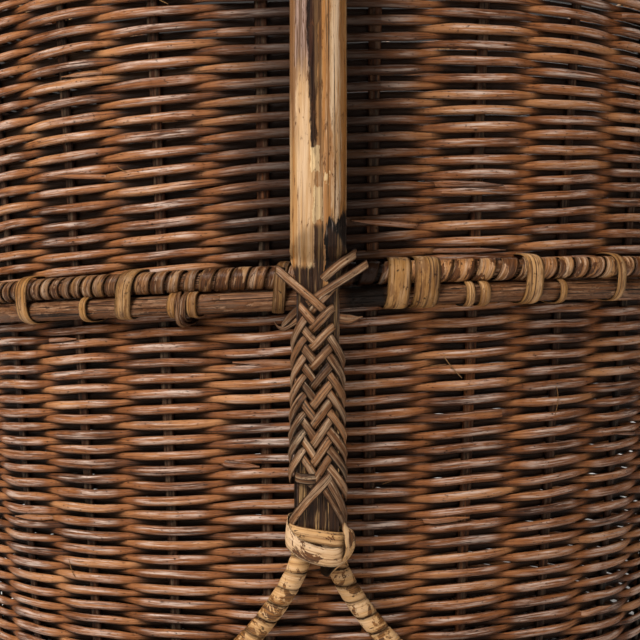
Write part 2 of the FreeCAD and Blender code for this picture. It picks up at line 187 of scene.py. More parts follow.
def smooth_path(points, count):
    """A Catmull-Rom curve through the points: on each span a cubic whose end slopes are half the chord
    of the neighbouring points. Sampled evenly from the first point to the last."""
    given = np.asarray(points, float)
    ends = np.vstack([2 * given[0] - given[1], given, 2 * given[-1] - given[-2]])
    along = np.linspace(0, len(given) - 1, count)
    span = np.minimum(along.astype(int), len(given) - 2)
    t = (along - span)[:, None]
    a, b, c, d = (ends[span + number] for number in range(4))
    square, cube = 2 * a - 5 * b + 4 * c - d, 3 * b - a - 3 * c + d
    return 0.5 * (2 * b + (c - a) * t + square * t**2 + cube * t**3)


# --- Where things are --------------------------------------------------------------------------

def wall_radius(height):
    """Radius of the middle of the wall at a height: a cone that widens by SLOPE."""
    return FOOT_RADIUS + (height - FOOT_Z) * SLOPE


def around(theta):
    """The level direction outwards at an angle round the basket."""
    return np.stack([np.sin(theta), -np.cos(theta), np.zeros(np.shape(theta))], -1)


def from_handle(theta):
    """The angle from the nearer end of the handle, front or rear."""
    return (theta + math.pi / 2) % math.pi - math.pi / 2


def on_wall(theta, height, depth):
    """The point at that angle and height of the wall, moved outwards along the wall's normal."""
    theta, height, depth = np.broadcast_arrays(theta, height, depth)
    radius = wall_radius(height) + depth * math.cos(LEAN)
    return np.stack([radius * np.sin(theta), -radius * np.cos(theta), height - depth * math.sin(LEAN)], -1)


def wall_normal(theta):
    """Outward normal of the wall: radial, and tipped down by the lean."""
    flat = math.cos(LEAN)
    down = np.full(np.shape(theta), -math.sin(LEAN))
    return np.stack([flat * np.sin(theta), -flat * np.cos(theta), down], -1)


def by_handle(side, x, up, depth, bow=True):
    """A point beside the handle's end: x along the wall, up from the belt, depth outwards. side is 0 at
    the front and 1 at the rear. With bow, x runs round the wall, else along its tangent."""
    x, up, depth = np.broadcast_arrays(x, up, depth)
    height = BELT_Z + up * math.cos(LEAN)
    if bow:
        points = on_wall(x / wall_radius(height), height, depth)
    else:
        out = wall_radius(height) + depth * math.cos(LEAN)
        points = np.stack([x, -out, height - depth * math.sin(LEAN)], -1)
    return points * np.array([-1, -1, 1]) if side else points


def beside_tongue(side, local):
    """Points given together as (x, up, depth), with x along the tangent."""
    return by_handle(side, local[..., 0], local[..., 1], local[..., 2], bow=False)


def handle_axes(side):
    """The direction of x and the wall's outward normal at the handle's end."""
    way = -1 if side else 1
    return np.array([way, 0, 0]), np.array([0, -way * math.cos(LEAN), -math.sin(LEAN)])


# --- Meshes ------------------------------------------------------------------------------------

def skin(name, grid, run, facts, closed=False, caps=True):
    """One mesh of many tubes. grid is (tubes, rows, columns, 3): its columns always close on
    themselves, its rows if closed. run is the distance along each row, (tubes, rows), which becomes U
    in metres, while V goes once round the columns. facts are named numbers at the points."""
    tubes, rows, columns = grid.shape[:3]
    tube, row, column = np.meshgrid(np.arange(tubes), np.arange(rows if closed else rows - 1),
                                    np.arange(columns), indexing="ij")
    corners = [(0, 0), (1, 0), (1, 1), (0, 1)]
    quads = np.stack([(tube * rows + (row + down) % rows) * columns + (column + over) % columns
                      for down, over in corners], -1).reshape(-1, 4)
    points = grid.reshape(-1, 3)
    a, b, c, d = (points[quads[:, number]] for number in range(4))
    volume = np.sum(a * (np.cross(b, c) + np.cross(c, d)))
    if closed:
        step = np.linalg.norm(grid[:, 0].mean(1) - grid[:, -1].mean(1), axis=-1)
        run = np.concatenate([run, run[:, -1:] + step[:, None]], 1)
    u = np.stack([run[tube, row + down] for down, over in corners], -1).reshape(-1, 4)
    v = np.stack([(column + over) / columns for down, over in corners], -1).reshape(-1, 4)
    if volume < 0:
        quads, u, v = quads[:, ::-1], u[:, ::-1], v[:, ::-1]
    ends = np.zeros((0, columns), int)
    if caps and not closed:
        ring = np.arange(columns)
        first = np.arange(tubes)[:, None] * rows * columns + ring
        last = first + (rows - 1) * columns
        ends = np.concatenate([first, last[:, ::-1]] if volume >= 0 else [first[:, ::-1], last])
    loops = np.concatenate([quads.ravel(), ends.ravel()])
    totals = np.concatenate([np.full(len(quads), 4), np.full(len(ends), columns)])
    mesh = bpy.data.meshes.new(name)
    mesh.vertices.add(len(points))
    mesh.vertices.foreach_set("co", points.astype(np.float32).ravel())
    mesh.loops.add(len(loops))
    mesh.loops.foreach_set("vertex_index", loops.astype(np.int32))
    mesh.polygons.add(len(totals))
    mesh.polygons.foreach_set("loop_start", (np.cumsum(totals) - totals).astype(np.int32))
    mesh.polygons.foreach_set("use_smooth", np.arange(len(totals)) < len(quads))
    mesh.update(calc_edges=True)
    chart = np.zeros((len(loops), 2), np.float32)
    chart[:quads.size, 0] = u.ravel()
    chart[:quads.size, 1] = v.ravel()
    mesh.uv_layers.new(name="UVMap").uv.foreach_set("vector", chart.ravel())
    for fact, values in facts.items():
        spread = np.broadcast_to(values, grid.shape[:3]).astype(np.float32)
        mesh.attributes.new(fact, "FLOAT", "POINT").data.foreach_set("value", spread.ravel())
    mesh.validate()
    piece = bpy.data.objects.new(name, mesh)
    bpy.context.scene.collection.objects.link(piece)
    return piece


def run_along(path):
    """Distance along each path from its first point."""
    steps = np.linalg.norm(np.diff(path, axis=1), axis=-1)
    return np.concatenate([np.zeros((len(path), 1)), np.cumsum(steps, 1)], 1)


def directions(path, closed):
    """Unit direction at each point of each path: the chord of its neighbours."""
    if closed:
        return unit(np.roll(path, -1, 1) - np.roll(path, 1, 1))
    return unit(np.gradient(path, axis=1))


# A split's section: flat beneath, domed on its outer face, with thin round edges.
ACROSS = np.array([-1.0, -0.74, 0.0, 0.74, 1.0, 0.74, 0.0, -0.74])
OUTWARD = np.array([0.0, 0.72, 1.0, 0.72, 0.0, -0.8, -0.85, -0.8])


def strips(name, path, outward, width, thickness, strand, closed=False, roll=0.0, reach=1.0, dark=0.0):
    """Carries a split's section along paths of shape (strips, points, 3). width and thickness may change
    along them, roll turns the section about its direction, strand is a strip's or a point's own number
    from 0 to 1, reach says how far outside the weave a point lies, from -1 to 1, and dark how much
    darker it is: charred cane, and on the weft the painted shadow of the handle."""
    ahead = directions(path, closed)
    across = unit(np.cross(outward, ahead))
    normal = np.cross(ahead, across)
    roll = np.broadcast_to(roll, path.shape[:2])[..., None]
    across, normal = (across * np.cos(roll) + normal * np.sin(roll),
                      normal * np.cos(roll) - across * np.sin(roll))
    half_width = np.broadcast_to(width, path.shape[:2])[..., None, None] / 2
    half_thick = np.broadcast_to(thickness, path.shape[:2])[..., None, None] / 2
    grid = (path[:, :, None] + across[:, :, None] * half_width * ACROSS[:, None]
            + normal[:, :, None] * half_thick * OUTWARD[:, None])
    strand = np.asarray(strand)
    if strand.ndim < 2:
        strand = np.broadcast_to(np.reshape(strand, (-1, 1)), (len(path), 1))
    strand = strand[..., None]
    facts = {"strand": strand, "reach": np.broadcast_to(reach, path.shape[:2])[..., None],
             "dark": np.broadcast_to(dark, path.shape[:2])[..., None], "edge": ACROSS, "face": OUTWARD}
    return skin(name, grid, run_along(path), facts, closed)


def rods(name, path, outward, radius, strand=0.5, closed=False, columns=20, joints=0.0, change=None,
         dark=0.0):
    """Carries a circle along paths. radius may change along them and round them, joints marks the
    growth rings of the cane, and change may move the finished points."""
    ahead = directions(path, closed)
    across = unit(np.cross(outward, ahead))
    normal = np.cross(ahead, across)
    turn = np.arange(columns) * TURN / columns
    radius = np.asarray(radius)
    radius = radius if radius.ndim == 3 else np.broadcast_to(radius, path.shape[:2])[..., None]
    grid = (path[:, :, None] + across[:, :, None] * (radius * np.sin(turn))[..., None]
            + normal[:, :, None] * (radius * np.cos(turn))[..., None])
    if change:
        grid = change(grid)
    facts = {"strand": np.broadcast_to(np.reshape(strand, (-1, 1, 1)), (len(path), 1, 1)),
             "joint": np.broadcast_to(joints, path.shape[:2])[..., None],
             "dark": np.broadcast_to(dark, path.shape[:2])[..., None]}
    return skin(name, grid, run_along(path), facts, closed)


def cane_joints(run, spacing, seed):
    """Growth rings: 1 at a ring and falling to 0 within 2 mm, at uneven spacing along a cane."""
    draw = np.random.default_rng(seed)
    places = np.cumsum(spacing * draw.uniform(0.75, 1.25, 60)) - spacing * draw.uniform(0.2, 0.9)
    nearest = np.min(np.abs(run[..., None] - places), axis=-1)
    return np.exp(-((nearest / (1.6 * MM)) ** 2))


def place(piece, finish, slot, *nodes):
    """Gives a finished piece its material, parents it to the root body and hides the parts it stands for;
    slot is not used.
    """
    piece.data.materials.append(finish)
    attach(piece, "root")
    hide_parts(*nodes)
    return piece


# --- Finishes ----------------------------------------------------------------------------------

class Value:
    """A number that varies over a surface. Arithmetic on it adds Math nodes."""

    def __init__(self, shader, socket):
        self.shader = shader
        self.socket = socket

    def math(self, operation, first, second=0.0):
        return self.shader.node("ShaderNodeMath", {"operation": operation}, {0: first, 1: second})

    def __add__(self, other):
        return self.math("ADD", self, other)

    def __radd__(self, other):
        return self.math("ADD", other, self)

    def __sub__(self, other):
        return self.math("SUBTRACT", self, other)

    def __rsub__(self, other):
        return self.math("SUBTRACT", other, self)

    def __mul__(self, other):
        return self.math("MULTIPLY", self, other)

    def __rmul__(self, other):
        return self.math("MULTIPLY", other, self)

    def __abs__(self):
        return self.math("ABSOLUTE", self)

    def rise(self, low, high):
        """0 below low, 1 above high, and a smooth rise between them."""
        return self.shader.node("ShaderNodeMapRange", {"interpolation_type": "SMOOTHSTEP"},
                                {0: self, 1: low, 2: high, 3: 0.0, 4: 1.0})

    def fall(self, low, high):
        """1 below low and 0 above high."""
        return 1 - self.rise(low, high)

    def within(self, middle, half, soft):
        """1 within half of the middle, fading to 0 over a soft margin."""
        return abs(self - middle).fall(half, half + soft)


class Shader:
    """Builds one material's nodes."""

    def __init__(self, name):
        self.material = bpy.data.materials.new(name)
        self.material.use_nodes = True
        self.tree = self.material.node_tree
        self.tree.nodes.clear()

    def node(self, kind, settings=None, inputs=None, output=0):
        """Adds a node: its settings first, then the values or links of its sockets."""
        made = self.tree.nodes.new(kind)
        for key, value in (settings or {}).items():
            if key == "stops":
                ramp = made.color_ramp
                while len(ramp.elements) < len(value):
                    ramp.elements.new(0.5)
                for element, (position, colour) in zip(ramp.elements, value):
                    element.position = position
                    element.color = (*colour, 1.0)
            else:
                setattr(made, key, value)
        for key, value in (inputs or {}).items():
            if isinstance(value, Value):
                self.tree.links.new(value.socket, made.inputs[key])
            else:
                made.inputs[key].default_value = value
        return Value(self, made.outputs[output]) if made.outputs else None

    def fact(self, name):
        """A named number carried by the mesh."""
        return self.node("ShaderNodeAttribute", {"attribute_name": name}, output=2)

    def parts(self, vector):
        """The three numbers of a vector."""
        split = self.node("ShaderNodeSeparateXYZ", inputs={0: vector})
        outputs = split.socket.node.outputs
        return [Value(self, outputs[number]) for number in range(3)]

    def chart(self):
        """Distance along a strip in metres, and the share of the way round it."""
        return self.parts(self.node("ShaderNodeUVMap", {"uv_map": "UVMap"}))[:2]

    def spot(self):
        """Place in the object, in metres."""
        return self.node("ShaderNodeTexCoord", output=3)

    def join(self, x, y, z):
        return self.node("ShaderNodeCombineXYZ", inputs={0: x, 1: y, 2: z})

    def noise(self, vector, detail=3.0, rough=0.55, warp=0.0):
        return self.node("ShaderNodeTexNoise", inputs={
            "Vector": vector, "Scale": 1.0, "Detail": detail, "Roughness": rough, "Distortion": warp})

    def ramp(self, factor, *stops):
        return self.node("ShaderNodeValToRGB", {"stops": stops}, {0: factor})

    def mix(self, factor, first, second):
        first, second = ((*c, 1.0) if isinstance(c, tuple) else c for c in (first, second))
        return self.node("ShaderNodeMix", {"data_type": "RGBA"},
                         {0: factor, 6: first, 7: second}, output=2)

    def finish(self, colour, roughness, height=None, depth=0.0, specular=0.5):
        """Ends the material in one Principled shader, with a bump of that depth in metres."""
        inputs = {"Base Color": colour, "Roughness": roughness, "Specular IOR Level": specular}
        if height is not None:
            inputs["Normal"] = self.node("ShaderNodeBump", inputs={"Height": height, "Distance": depth,
                                                                    "Strength": 1.0})
        surface = self.node("ShaderNodeBsdfPrincipled", inputs=inputs)
        self.node("ShaderNodeOutputMaterial", inputs={"Surface": surface})
        return self.material


def palette():
    """The colours of the panel, as tuples."""
    chosen = bpy.context.scene.basket_colours
    return types.SimpleNamespace(**{name: tuple(getattr(chosen, name)) for name in Colours.__annotations__})


def split_finish(name, dark, mid, light, highlight=0.5, lift=0.0, gloss=0.4, bark=0.0, below=0.0, pale=None,
                 specular=0.12, lines=0.0, blotch=(38, 3.4), crust=None, rimmed=0.0):
    """Cane splits: tone differs from strand to strand and along each one, with fibres along it, dark
    specks, a painted highlight on the crowns, and painted shade where the strand dives, on faces turned
    into the weave and on its lower edge if below is set; both edges are darker if rimmed is. lines adds
    dark threads and stains, and bark leaves patches in cells of 1/blotch, along in metres and round in
    turns."""
    hue = palette()
    s = Shader(name)
    u, v = s.chart()
    strand, reach, edge, face = (s.fact(fact) for fact in ("strand", "reach", "edge", "face"))

    def cells(along, around, own, **how):
        """Noise in cells of 1/along metres by 1/around turns, which differs from strand to strand."""
        return s.noise(s.join(u * along, v * around, strand * own), **how)

    patches = s.noise(s.join(u * 19, strand * 91, 0.0), detail=4.0)
    fibres = cells(24, 15, 53, detail=4.0, rough=0.65)
    grain = cells(130, 46, 31, detail=3.0, rough=0.6)
    specks = cells(420, 16, 29, detail=3.0, rough=0.6)
    tone = strand * 0.34 + patches.rise(0.3, 0.7) * 0.4 + fibres.rise(0.3, 0.7) * 0.3 + grain * 0.3
    tone = tone + (lift - 0.22)
    colour = s.ramp(tone, (0.06, dark), (0.45, mid), (0.9, light))
    # Painted highlight on the crowns, where the strand lies outside the weave and faces out.
    crown = (reach.rise(0.3, 0.95) * (face.rise(0.2, 0.9) + edge * 0.3)
             * cells(40, 11, 17, detail=4.0, rough=0.7).rise(0.44, 0.68))
    colour = s.mix(crown * highlight, colour, pale or hue.bleached_and_highlight)
    colour = s.mix(fibres.fall(0.34, 0.44) * 0.55, colour, dark)
    colour = s.mix(specks.rise(0.6, 0.7) * 0.8, colour, hue.soot_and_shade)
    if lines:
        thread = cells(30, 42, 19, detail=4.0, rough=0.6).rise(0.53, 0.6)
        stain = cells(70, 7, 23, detail=4.0, rough=0.65).rise(0.52, 0.6)
        colour = s.mix(stain * lines * 0.7, colour, hue.bark)
        colour = s.mix(thread * lines, colour, hue.weft_dark)
    if bark:
        coat = cells(*blotch, 71, detail=5.0, rough=0.72, warp=0.8) + strand * 0.06
        coat = coat.rise(0.66 - 0.2 * bark, 0.68 - 0.2 * bark)
        left = s.mix(grain.rise(0.4, 0.62), crust or hue.bark, hue.weft_dark)
        colour = s.mix(coat * 0.93, colour, left)
    if rimmed:
        colour = s.mix(abs(edge).rise(0.6, 0.95) * rimmed, colour, hue.soot_and_shade)
    # Painted shade where the strand dives behind a stake or its neighbours, and on faces turned into the
    # weave.
    outer = face.rise(-0.3, 0.2)
    shown = reach * (outer * 2 - 1)
    colour = s.mix((1 - shown.rise(-0.8, 0.1)) * 0.93, colour, hue.soot_and_shade)
    # Painted shade on the lower edge of the strand, as if lit from above.
    if below:
        colour = s.mix(edge.fall(-1.0, -0.1) * below, colour, hue.soot_and_shade)
    # Painted shade on the face turned into the weave.
    colour = s.mix((1 - outer) * 0.6, colour, hue.soot_and_shade)
    # Darkened by the dark fact: charred cane, and on the weft the painted shadow of the handle.
    colour = s.mix(s.fact("dark") * (patches + 0.5).rise(0.55, 0.9) * 0.93, colour, tint(26, 12, 5))
    height = fibres * 0.6 + grain * 0.5 - specks.rise(0.6, 0.7) * 0.3
    return s.finish(colour, grain * 0.35 + (gloss - 0.14), height, 0.6 * MM, specular)


def cane_finish(name, dark, mid, light, bark, gloss=0.42, cracked=0.6):
    """Round cane: grain and cracks along it, bark left in long ragged patches, dark growth rings."""
    hue = palette()
    s = Shader(name)
    u, v = s.chart()
    strand, joint = s.fact("strand"), s.fact("joint")
    grain = s.noise(s.join(u * 42, v * 26, strand * 77), detail=5.0, rough=0.68)
    patches = s.noise(s.join(u * 36, v * 2.6, strand * 41), detail=5.0, rough=0.7, warp=0.6)
    tone = grain.rise(0.3, 0.7) * 0.5 + patches.rise(0.3, 0.7) * 0.5
    colour = s.ramp(tone, (0.1, dark), (0.5, mid), (0.9, light))
    peeling = patches.rise(0.62 - 0.25 * bark, 0.66 - 0.25 * bark)
    colour = s.mix(peeling * 0.8, colour, s.mix(grain.rise(0.44, 0.6), hue.bark, hue.weft_dark))
    cracks = s.noise(s.join(u * 20, v * 34, strand * 13), detail=4.0, rough=0.6)
    cracks = cracks.rise(cracked, cracked + 0.07)
    colour = s.mix(cracks * 0.9, colour, hue.soot_and_shade)
    colour = s.mix(joint * 0.75, colour, dark)
    colour = s.mix(s.fact("dark") * (grain + 0.5).rise(0.6, 0.9) * 0.96, colour, hue.soot_and_shade)
    height = grain * 0.6 + peeling * 0.5 - cracks * 0.9
    return s.finish(colour, grain * 0.3 + (gloss - 0.12), height, 0.8 * MM, 0.12)


def pole_finish(name):
    """The peeled pole: tan grain, a dark furrow and a grey bark streak down the front of each end, golden
    bands, cream patches, thin cracks, and a charred scarf above the dark tongue. Lanes are distances
    across the pole, and heights are above the floor."""
    hue = palette()
    s = Shader(name)
    x, y, z = s.parts(s.spot())
    u, v = s.chart()
    b = s.node("ShaderNodeMath", {"operation": "COSINE"}, {0: v * TURN}) * POLE_RADIUS
    cut = s.fact("cut")

    def cells(around, along, **how):
        """Noise in cells of 1/around metres round the pole by 1/along metres."""
        return s.noise(s.join(x * around, b * around, u * along), **how)

    side = y.rise(-0.02, 0.02) * 2 - 1
    across = x * side * -1
    ragged = (cells(300, 60, detail=5.0, rough=0.75) - 0.5) * (6 * MM)
    drift = (cells(20, 14, detail=2.0) - 0.5) * (5 * MM)
    lane = across + ragged + drift
    fine = cells(900, 34, detail=4.0, rough=0.7)
    grain = cells(330, 13, detail=5.0, rough=0.65)
    broad = cells(90, 6, detail=4.0, rough=0.6)
    tone = grain.rise(0.3, 0.7) * 0.45 + broad.rise(0.3, 0.7) * 0.4 + fine * 0.3
    colour = s.ramp(tone, (0.12, hue.pole_gold), (0.5, hue.pole_pale), (0.95, hue.bleached_and_highlight))
    low = (z + ragged * 9).fall(0.4, 0.46)
    gold = lane.within(2.2 * MM, 3.4 * MM, 1.4 * MM) + lane.within(11.6 * MM, 1.2 * MM, 1.0 * MM)
    colour = s.mix(gold * low * (fine + 0.3).rise(0.5, 0.85) * 0.85, colour, hue.pole_gold)
    lines = cells(640, 7, detail=3.0, rough=0.5)
    lined = lines.rise(0.56, 0.64) * lane.within(4.0 * MM, 3.6 * MM, 2.0 * MM) * low * 0.8
    colour = s.mix(lined, colour, hue.weft_dark)
    rust = lane.within(-11.8 * MM, 1.3 * MM, 1.4 * MM) * (z + ragged * 8).rise(0.29, 0.33) * low
    colour = s.mix(rust * 0.75, colour, hue.bark)
    top = (z + ragged * 6).rise(0.325, 0.345) * low
    streak = lane.within(-6.8 * MM, 2.9 * MM, 0.7 * MM) * top
    stripe = s.mix(fine.rise(0.42, 0.62), tint(66, 44, 38), tint(146, 122, 114))
    colour = s.mix(streak * 0.85, colour, stripe)
    spread = (z - 0.298) * 0.034
    furrow = (abs(lane + (2.4 * MM) - spread * 0.4) - spread).fall(0.3 * MM, 1.1 * MM)
    furrow = furrow * (z + ragged * 3).rise(0.296, 0.302) * low
    hollow = s.mix(grain.rise(0.4, 0.65) * 0.5, tint(20, 9, 6), tint(84, 46, 26))
    colour = s.mix(furrow * (0.7 + fine * 0.6), colour, hollow)
    knots = cells(160, 55, detail=4.0, rough=0.6).rise(0.6, 0.63)
    cream = knots * lane.within(0.2 * MM, 4.6 * MM, 1.0 * MM) * z.fall(0.29, 0.31)
    for middle, rough, height, tall in ((-1.4, 1.2, 0.2935, 0.0055), (-0.1, 1.6, 0.2725, 0.0075)):
        patch = (across + ragged).within(middle * MM, 1.9 * MM, 0.5 * MM)
        cream = cream + patch * (z + ragged * rough).within(height, tall, 0.001)
    colour = s.mix(cream.rise(0.3, 0.7) * 0.85, colour, tint(202, 172, 128))
    # Painted highlight: a pale line down the pole where its round face would glint.
    highlight = lane.within(9.2 * MM, 0.8 * MM, 1.1 * MM) * fine.rise(0.42, 0.6)
    colour = s.mix(highlight * low * 0.62, colour, tint(198, 172, 146))
    flecks = cells(420, 110, detail=5.0, rough=0.78, warp=0.5).rise(0.59, 0.64)
    colour = s.mix(flecks * 0.8, colour, hue.bark)
    cracks = cells(800, 9, detail=3.0).rise(0.63, 0.68) * across.rise(1 * MM, 7 * MM) * low
    colour = s.mix(cracks * 0.9, colour, hue.soot_and_shade)
    threads = cells(1100, 11, detail=3.0, rough=0.6).rise(0.54, 0.66)
    colour = s.mix(threads * 0.5, colour, hue.bark)
    above = z.rise(0.238, 0.243)
    char = lane.rise(1.5 * MM, 4.5 * MM) * (z + ragged * 4).fall(0.256, 0.276) * above
    char = char + lane.rise(9 * MM, 13 * MM) * (z + ragged * 6).fall(0.27, 0.29) * above * 0.4
    black = (char + (grain - 0.5) * 1.2 + (fine - 0.5) * 0.8).rise(0.46, 0.56)
    # Painted highlights: pale glints on the charred scarf.
    shine = cells(700, 60, detail=4.0, rough=0.7).rise(0.56, 0.66)
    colour = s.mix(black, colour, s.mix(shine * 0.8, hue.soot_and_shade, tint(128, 110, 98)))
    bare = grain.rise(0.52, 0.6) * (1 - z.rise(0.14, 0.2) * 0.6)
    bare = s.mix(bare, tint(36, 21, 12), tint(164, 128, 84))
    bare = s.mix(fine.rise(0.46, 0.62) * 0.5, bare, tint(70, 44, 26))
    kept = lane.fall(-2.7 * MM, -1.7 * MM) * (z + ragged * 2).rise(0.2425, 0.2465)
    kept = kept + lane.within(3.2 * MM, 0.9 * MM, 0.6 * MM) * z.rise(0.2335, 0.237)
    colour = s.mix(cut * (1 - kept), colour, bare)
    height = grain * 0.5 + fine * 0.4 - furrow * 0.8 - cracks * 0.8 + flecks * 0.2 - black * 0.4
    height = height - lines.rise(0.56, 0.64) * 0.3
    return s.finish(colour, fine * 0.3 + black * 0.05 + 0.24, height, 1.0 * MM, 0.14)


def material(name):
    """The material of that name, which is made the first time it is asked for."""
    known = bpy.data.materials.get(name)
    if known:
        return known
    hue = palette()
    # In these settings the crown amount and pale colour give the painted highlight on the crowns, and below
    # gives the painted shade on the lower edge.
    splits = {
        "weft": {"dark": hue.weft_dark, "mid": hue.weft_mid, "light": hue.weft_light, "highlight": 0.75,
                 "below": 0.5, "pale": tint(200, 178, 164)},
        # The warp is the weft's cane a step darker: painted shade for where the stakes show in the gaps of
        # the weave.
        "warp": {"dark": hue.soot_and_shade, "mid": hue.weft_dark, "light": hue.weft_mid, "highlight": 0.1, "lift": -0.16,
                 "specular": 0.06},
        "lashing peel": {"dark": hue.weft_dark, "mid": tint(140, 97, 50), "light": hue.peel_pale,
                         "highlight": 0.3, "lift": 0.03, "lines": 0.8, "rimmed": 0.3},
        "coiled peel": {"dark": hue.weft_dark, "mid": hue.peel_mid, "light": hue.peel_pale, "highlight": 0.6,
                        "bark": 0.6, "gloss": 0.33, "pale": tint(214, 184, 156), "lines": 0.6,
                        "rimmed": 0.5},
        "plait splits": {"dark": hue.soot_and_shade, "mid": hue.plait, "light": hue.weft_light, "lines": 0.5,
                         "rimmed": 0.75},
        "pale peel": {"dark": hue.bark, "mid": hue.peel_pale, "light": hue.bleached_and_highlight, "highlight": 0.2,
                      "lift": 0.02, "bark": 0.3, "blotch": (60, 2.6)},
        "leg peel": {"dark": hue.bark, "mid": hue.peel_pale, "light": hue.bleached_and_highlight, "highlight": 0.15,
                     "bark": 0.5, "blotch": (80, 1.7), "lines": 0.2, "crust": tint(126, 82, 40),
                     "rimmed": 0.45},
    }
    canes = {
        "dark core": {"dark": hue.soot_and_shade, "mid": hue.soot_and_shade, "light": hue.weft_dark, "bark": 0.2},
        "bare rod": {"dark": hue.weft_dark, "mid": tint(112, 76, 50), "light": tint(160, 128, 102),
                     "bark": 0.5, "cracked": 0.55},
        "hoop rod": {"dark": hue.weft_dark, "mid": hue.weft_mid, "light": hue.peel_mid, "bark": 0.2},
    }
    if name in splits:
        return split_finish(name, **splits[name])
    return cane_finish(name, **canes[name]) if name in canes else pole_finish(name)


# --- Weave -------------------------------------------------------------------------------------

TILT_AT = np.array([-0.222, -0.165, -0.07, -0.02, 0.042, 0.138, 0.217])
TILT = np.radians([0.3, 1.7, 3.2, 3.6, 4.5, 1.0, 0.0])


def row_heights(sizes):
    """Heights of the rows at the front: even steps up to the belt, and larger ones above it."""
    low = np.arange(FOOT_Z + 4.5 * MM, BELT_Z + 4 * MM, sizes.low_pitch)
    high = np.arange(low[-1] + sizes.high_pitch, RIM_Z - 2.5 * MM, sizes.high_pitch)
    return np.concatenate([low, high])


def weft_rows(sizes):
    """The wall's weft. A row swings in and out past the stakes like a flattened cosine,
    cos / sqrt(1 + b cos^2), and the next row the other way. It tilts about the front by an angle that
    depends on its height, wanders a little, and narrows where it crosses its neighbours."""
    heights = row_heights(sizes)
    count = len(heights)
    samples = STAKES * 14
    theta = np.arange(samples) * TURN / samples
    phase = np.cos((theta - FIRST_STAKE) * STAKES / 2)
    way = np.where(np.arange(count) % 2, -1.0, 1.0)[:, None]
    swing = way * phase * math.sqrt(2.4) / np.sqrt(1 + 1.4 * phase**2)
    tilt = np.tan(np.interp(heights - BELT_Z, TILT_AT, TILT))[:, None]
    height = heights[:, None] + np.sin(theta) * wall_radius(heights)[:, None] * tilt
    own = np.array([waver(theta, 300 + row, 6, 4, True) for row in range(count)])
    thin = np.array([waver(theta, 900 + row, 4, 5, True) for row in range(count)])
    lean_in = np.array([waver(theta, 1500 + row, 9, 3, True) for row in range(count)])
    shared = np.array([waver(theta, 40, 3, 4, True) * math.cos(row / 9.0)
                       + waver(theta, 41, 5, 4, True) * math.sin(row / 6.0) for row in range(count)])
    height = height + (0.42 * own + 0.8 * shared) * MM * ease(0, 12 * MM, heights - FOOT_Z)[:, None] \
        * ease(0, 12 * MM, RIM_Z - heights)[:, None]
    depth = swing * sizes.weft_swing * (1 + 0.07 * own)
    width = sizes.weft_width * (0.76 + 0.24 * ease(0, 0.85, np.abs(swing))) * (1 + 0.1 * thin)
    path = on_wall(theta, height, depth)
    outward = np.broadcast_to(wall_normal(theta), path.shape)
    roll = np.radians(9.0) * lean_in
    strand = np.random.default_rng(7).random(count)
    return path, outward, width, roll, strand, swing


def weave_walls():
    """Makes the weft in pieces that each stay a moderate size."""
    sizes = bpy.context.scene.basket_weave
    path, outward, width, roll, strand, swing = weft_rows(sizes)
    beside = from_handle(np.arctan2(path[..., 0], -path[..., 1]))
    # Painted shadow of the handle on the weft beside it, front and rear, above the belt.
    handle_shadow = 0.95 * np.exp(-((beside / 0.185) ** 4)) * ease(BELT_Z, BELT_Z + 20 * MM, path[..., 2])
    belt_row = int(np.sum(row_heights(sizes) < LOWER[1].z))
    for name, node, first, last in (("lower_weft", "lower_weave", 0, belt_row),
                                    ("upper_weft", "upper_weave", belt_row, len(path))):
        middle = (first + last) // 2
        for number, rows in enumerate((slice(first, middle), slice(middle, last))):
            piece = strips(f"{name}_{number + 1}", path[rows], outward[rows], width[rows],
                           sizes.weft_thickness, strand[rows], True, roll[rows], swing[rows], handle_shadow[rows])
            place(piece, material("weft"), node.replace("weave", "weft"), node)


def spliced_ends():
    """Ends of splits that stand a little proud of the wall: each comes up from behind a stake,
    lies along its row and tapers to a lifted tip."""
    sizes = bpy.context.scene.basket_weave
    draw = np.random.default_rng(21)
    heights = row_heights(sizes)
    count = 90
    row = draw.integers(3, len(heights) - 3, count)
    stake = draw.integers(0, STAKES, count)
    way = np.where(draw.random(count) < 0.5, -1.0, 1.0)
    reach = draw.uniform(20, 44, count) * MM
    t = np.linspace(0, 1, 14)
    middle = FIRST_STAKE + (stake + 0.5) * STAKE_STEP
    radius = wall_radius(heights[row])
    theta = middle[:, None] + way[:, None] * t * (reach / radius)[:, None]
    tilt = np.tan(np.interp(heights[row] - BELT_Z, TILT_AT, TILT))
    height = (heights[row] + np.sin(middle) * radius * tilt)[:, None]
    height = height + t * draw.uniform(-2.0, 3.0, count)[:, None] * MM
    depth = (-2.2 + 5.6 * ease(0, 0.3, t) + draw.uniform(0.0, 2.0, count)[:, None] * t**3) * MM
    path = on_wall(theta, height, depth)
    width = sizes.weft_width * draw.uniform(0.45, 0.8, count)[:, None] * (1 - 0.75 * ease(0.6, 1.0, t))
    piece = strips("spliced_ends", path, wall_normal(theta), width, 1.0 * MM, draw.random(count),
                   roll=draw.uniform(-0.4, 0.4, count)[:, None], reach=0.6)
    place(piece, material("weft"), "lower_weft", "lower_weave")


